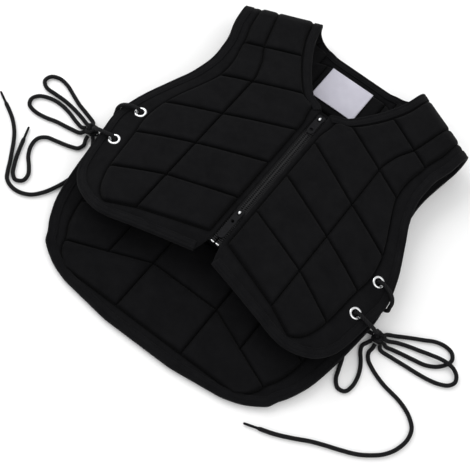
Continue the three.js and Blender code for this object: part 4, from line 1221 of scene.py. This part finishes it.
def add_slider(name, y, direction):
    """Cast slider: two shield plates with turned edges on a post, and a ring that holds the pull."""
    low, high = TAPE_HEIGHT - SLIDER["clear"], TAPE_HEIGHT + SLIDER["clear"]
    plate, wall, post, sunk = (SLIDER[key] for key in ("plate", "wall", "post", "sunk"))
    parts = []

    def cast(outline, bottom, top, chamfer):
        placed = [(x, y + FRAME_Y + direction * dy) for x, dy in outline]
        parts.append(prism(placed, bottom, top, chamfer))

    cast(slider_outline(), high, high + plate, SLIDER["chamfer"])
    cast(slider_outline(), low - plate, low, SLIDER["chamfer"])
    for side in (1, -1):
        cast(slider_wall(side), high - wall, high + sunk, sunk)
        cast(slider_wall(side), low - sunk, low + wall, sunk)
    shape = rectangle((-post, post), SLIDER["post_ends"])
    cast(shape, low - SLIDER["overlap"], high + SLIDER["overlap"], sunk)
    add_mesh(f"{name}_ring", *crown_ring(y), "eyelet")
    made = add_mesh(f"{name}_cast", *merged(parts), "slider")
    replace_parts(soften(made, SLIDER["bevel"]), name)


def dress_pulls():
    """The pulls keep their solids, with softened edges."""
    for name in ("zip_pull_top", "zip_pull_bottom"):
        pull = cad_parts[name]
        pull.data.materials.clear()
        pull.data.materials.append(LOOKS["slider"])
        soften(pull, PULL["bevel"])


# Laces


def knot_exit(angle, tilt):
    """Where a lace leaves its knot: on the knot's surface, and straight out from there."""
    turn, rise = math.radians(angle), math.radians(tilt)
    way = np.array([math.cos(turn) * math.cos(rise), math.sin(turn) * math.cos(rise), math.sin(rise)])
    normal = unit(way / np.array(KNOT_RADIUS))
    at_surface = way * np.array(KNOT_RADIUS) + np.array(KNOT)
    return [at_surface, at_surface + normal * KNOT_LEAD]


def lace_points(spec, side):
    """A lace's route in the frame, with its ends at the knot."""
    start = knot_exit(spec["leaves"], spec.get("leaves_tilt", KNOT_TILT))
    end = knot_exit(spec["returns"], KNOT_TILT)[::-1] if "returns" in spec else []
    route = [(*point, LACE_REST)[:3] for point in spec["route"]]
    return np.array([*start, *route, *end]) * (side, 1, 1) + (0, FRAME_Y, 0)


def curve_through(points, step):
    """Even steps along a centripetal curve through points."""
    before, after = 2 * points[:1] - points[1:2], 2 * points[-1:] - points[-2:-1]
    hull = np.concatenate([before, points, after])
    pieces = []
    for a, b, c, d in zip(hull, hull[1:], hull[2:], hull[3:]):
        gaps = [max(np.linalg.norm(q - p) ** 0.5, TINY) for p, q in ((a, b), (b, c), (c, d))]
        lead = (b - a) / gaps[0] - (c - a) / (gaps[0] + gaps[1]) + (c - b) / gaps[1]
        trail = (c - b) / gaps[1] - (d - b) / (gaps[1] + gaps[2]) + (d - c) / gaps[2]
        t = np.linspace(0, 1, POINTS["lace_span"], endpoint=False)[:, None]
        start, end = lead * gaps[1], trail * gaps[1]
        pieces.append((2 * b - 2 * c + start + end) * t ** 3
                      + (3 * c - 3 * b - 2 * start - end) * t ** 2 + start * t + b)
    return resampled(np.concatenate([*pieces, points[-1:]]), step)[0]


def carried_frames(points, closed=False):
    """Two directions across a line at each point, carried along it without twisting."""
    ahead = np.roll(points, -1, 0) - np.roll(points, 1, 0) if closed else np.gradient(points, axis=0)
    ahead = unit(ahead)
    across = [unit(np.cross(ahead[0], (0.0, 0.0, 1.0)))]
    for direction in ahead[1:]:
        across.append(unit(across[-1] - direction * (across[-1] @ direction)))
    across = np.array(across)
    return across, np.cross(ahead, across)


def add_braid(name, node, points, radius, closed=False):
    """A braided cord along points: strands wind round it, over fainter ones the other way."""
    across, other = carried_frames(points, closed)
    turn = turns(LACE_SIDES)[None, :]
    wind = lengths(points)[:, None] * 2 * np.pi * BRAID["strands"] / BRAID["pitch"]
    lobes = BRAID["strands"] * turn
    strands = np.maximum(np.cos(lobes - wind), BRAID["return"] * np.cos(lobes + wind))
    reach = np.reshape(radius, (-1, 1)) * (1 + BRAID["relief"] * (strands - BRAID["level"]))
    rings = points[:, None] + across[:, None] * (reach * np.cos(turn))[..., None]
    rings = rings + other[:, None] * (reach * np.sin(turn))[..., None]
    made = add_mesh(name, *sweep(rings, closed), "lace")
    # The strand heights also set the shade and light painted into the lace's colour.
    set_values(made, "strand", strands)
    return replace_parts(made, node)


def add_aglet(node, end, direction):
    """Smooth tip crimped on a lace's end."""
    radius, tip = AGLET["radius"], AGLET["length"] + AGLET["gap"]
    profile = [(share * radius, place) for share, place in AGLET_COLLAR]
    profile += [(share * radius, tip - back) for share, back in AGLET_POINT]
    points, faces = sweep(np.swapaxes(lathe(profile, POINTS["aglet"]), 0, 1))
    beside = unit(np.cross(direction, (0.0, 0.0, 1.0)))
    turned = np.stack([beside, np.cross(direction, beside), direction])
    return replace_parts(add_mesh(f"tip_{node}", points @ turned + end, faces, "aglet"), node)


def add_knot(name, side):
    """Tied middle of a bow: the lace wound three times through itself."""
    t = turns(POINTS["knot"])
    wide, deep, tall = (KNOT_WIND[key] for key in ("wide", "deep", "tall"))
    ring = wide + deep * np.cos(3 * t)
    points = np.stack([ring * np.cos(2 * t), ring * np.sin(2 * t), tall * np.sin(3 * t)], 1)
    centre = np.array(KNOT) * (side, 1, 1) + (0, FRAME_Y, 0)
    add_braid(f"knot_{name}", f"lace_{name}_knot", points + centre, LACE_RADIUS, closed=True)


def add_loose_lace(node, spec, side):
    """A loop that goes back to its knot, or a tail that ends in its tip."""
    points = curve_through(lace_points(spec, side), LACE_STEP)
    along_lace = lengths(points)
    radius = np.full(len(points), LACE_RADIUS)
    tail = "returns" not in spec
    if tail:
        left = np.clip((along_lace[-1] - along_lace) / LACE_TAPER["length"], 0, 1)
        radius = np.minimum(radius, AGLET["radius"] * LACE_TAPER["share"] + LACE_TAPER["swell"] * left)
    made = add_braid(node.replace("lace_", "braid_"), node, points, radius)
    tips = [add_aglet(node.replace("tail", "aglet"), points[-1], along(points)[-1])] if tail else []


def add_laces():
    for name, side in SIDES.items():
        run = curve_through(lace_points(RUN, side), LACE_STEP)
        add_braid(f"braid_{name}_run", f"lace_{name}_run", run, LACE_RADIUS)
        add_knot(name, side)
        for part, spec in LACES[name].items():
            add_loose_lace(f"lace_{name}_{part}", spec, side)


# Studio


def add_camera():
    """Camera that looks at its target, turned by its azimuth, elevation and roll."""
    azimuth, elevation, roll = (math.radians(CAMERA[name]) for name in ("azimuth", "elevation", "roll"))
    turned = Matrix.Rotation(azimuth, 4, "Z") @ Matrix.Rotation(math.pi / 2 - elevation, 4, "X")
    away = Matrix.Rotation(roll, 4, "Z") @ Matrix.Translation((0, 0, CAMERA["distance"]))
    data = bpy.data.cameras.new("camera")
    data.lens = CAMERA["lens"]
    data.sensor_width = CAMERA["sensor"]
    data.sensor_fit = "HORIZONTAL"
    camera = bpy.data.objects.new("camera", data)
    camera.matrix_world = Matrix.Translation(CAMERA["target"]) @ turned @ away
    bpy.context.scene.collection.objects.link(camera)
    bpy.context.scene.camera = camera


def add_light(name, place, size, power):
    """Square light that faces the vest."""
    data = bpy.data.lights.new(name, "AREA")
    data.energy = power
    data.size = size
    light = bpy.data.objects.new(name, data)
    back = unit(np.array(place))
    beside = unit(np.cross((0.0, 1.0, 0.0), back))
    pose = np.column_stack([beside, np.cross(back, beside), back, place])
    light.matrix_world = Matrix([*pose.tolist(), (0, 0, 0, 1)])
    bpy.context.scene.collection.objects.link(light)


def add_studio():
    """A pale floor, an even white surround and soft lights."""
    scene = bpy.context.scene
    scene.view_settings.view_transform = "Standard"
    world = bpy.data.worlds.new("surround")
    world.use_nodes = True
    background = world.node_tree.nodes["Background"]
    background.inputs["Color"].default_value = (1, 1, 1, 1)
    background.inputs["Strength"].default_value = SURROUND
    scene.world = world
    span = (-FLOOR["half"], FLOOR["half"])
    corners = [(x, y, 0) for x, y in rectangle(span, span)]
    mesh = bpy.data.meshes.new("floor")
    mesh.from_pydata(corners, [], [(0, 1, 2, 3)])
    paint = Nodes("floor", grey(FLOOR["tone"]), FLOOR["roughness"], Specular_IOR_Level=FLOOR["specular"])
    mesh.materials.append(paint.material)
    floor = bpy.data.objects.new("floor", mesh)
    scene.collection.objects.link(floor)
    for name, light in LIGHTS.items():
        add_light(name, *light)


add_camera()
add_laces()
add_back()
for front_name, front_side in SIDES.items():
    add_front(front_name, front_side)
add_trim()
add_eyelets()
add_label()
add_tapes()
add_teeth()
add_slider("zip_slider_top", TOP_SLIDER_Y, 1)
add_slider("zip_slider_bottom", BOTTOM_SLIDER_Y, -1)
dress_pulls()
add_studio()

bpy.context.view_layer.update()
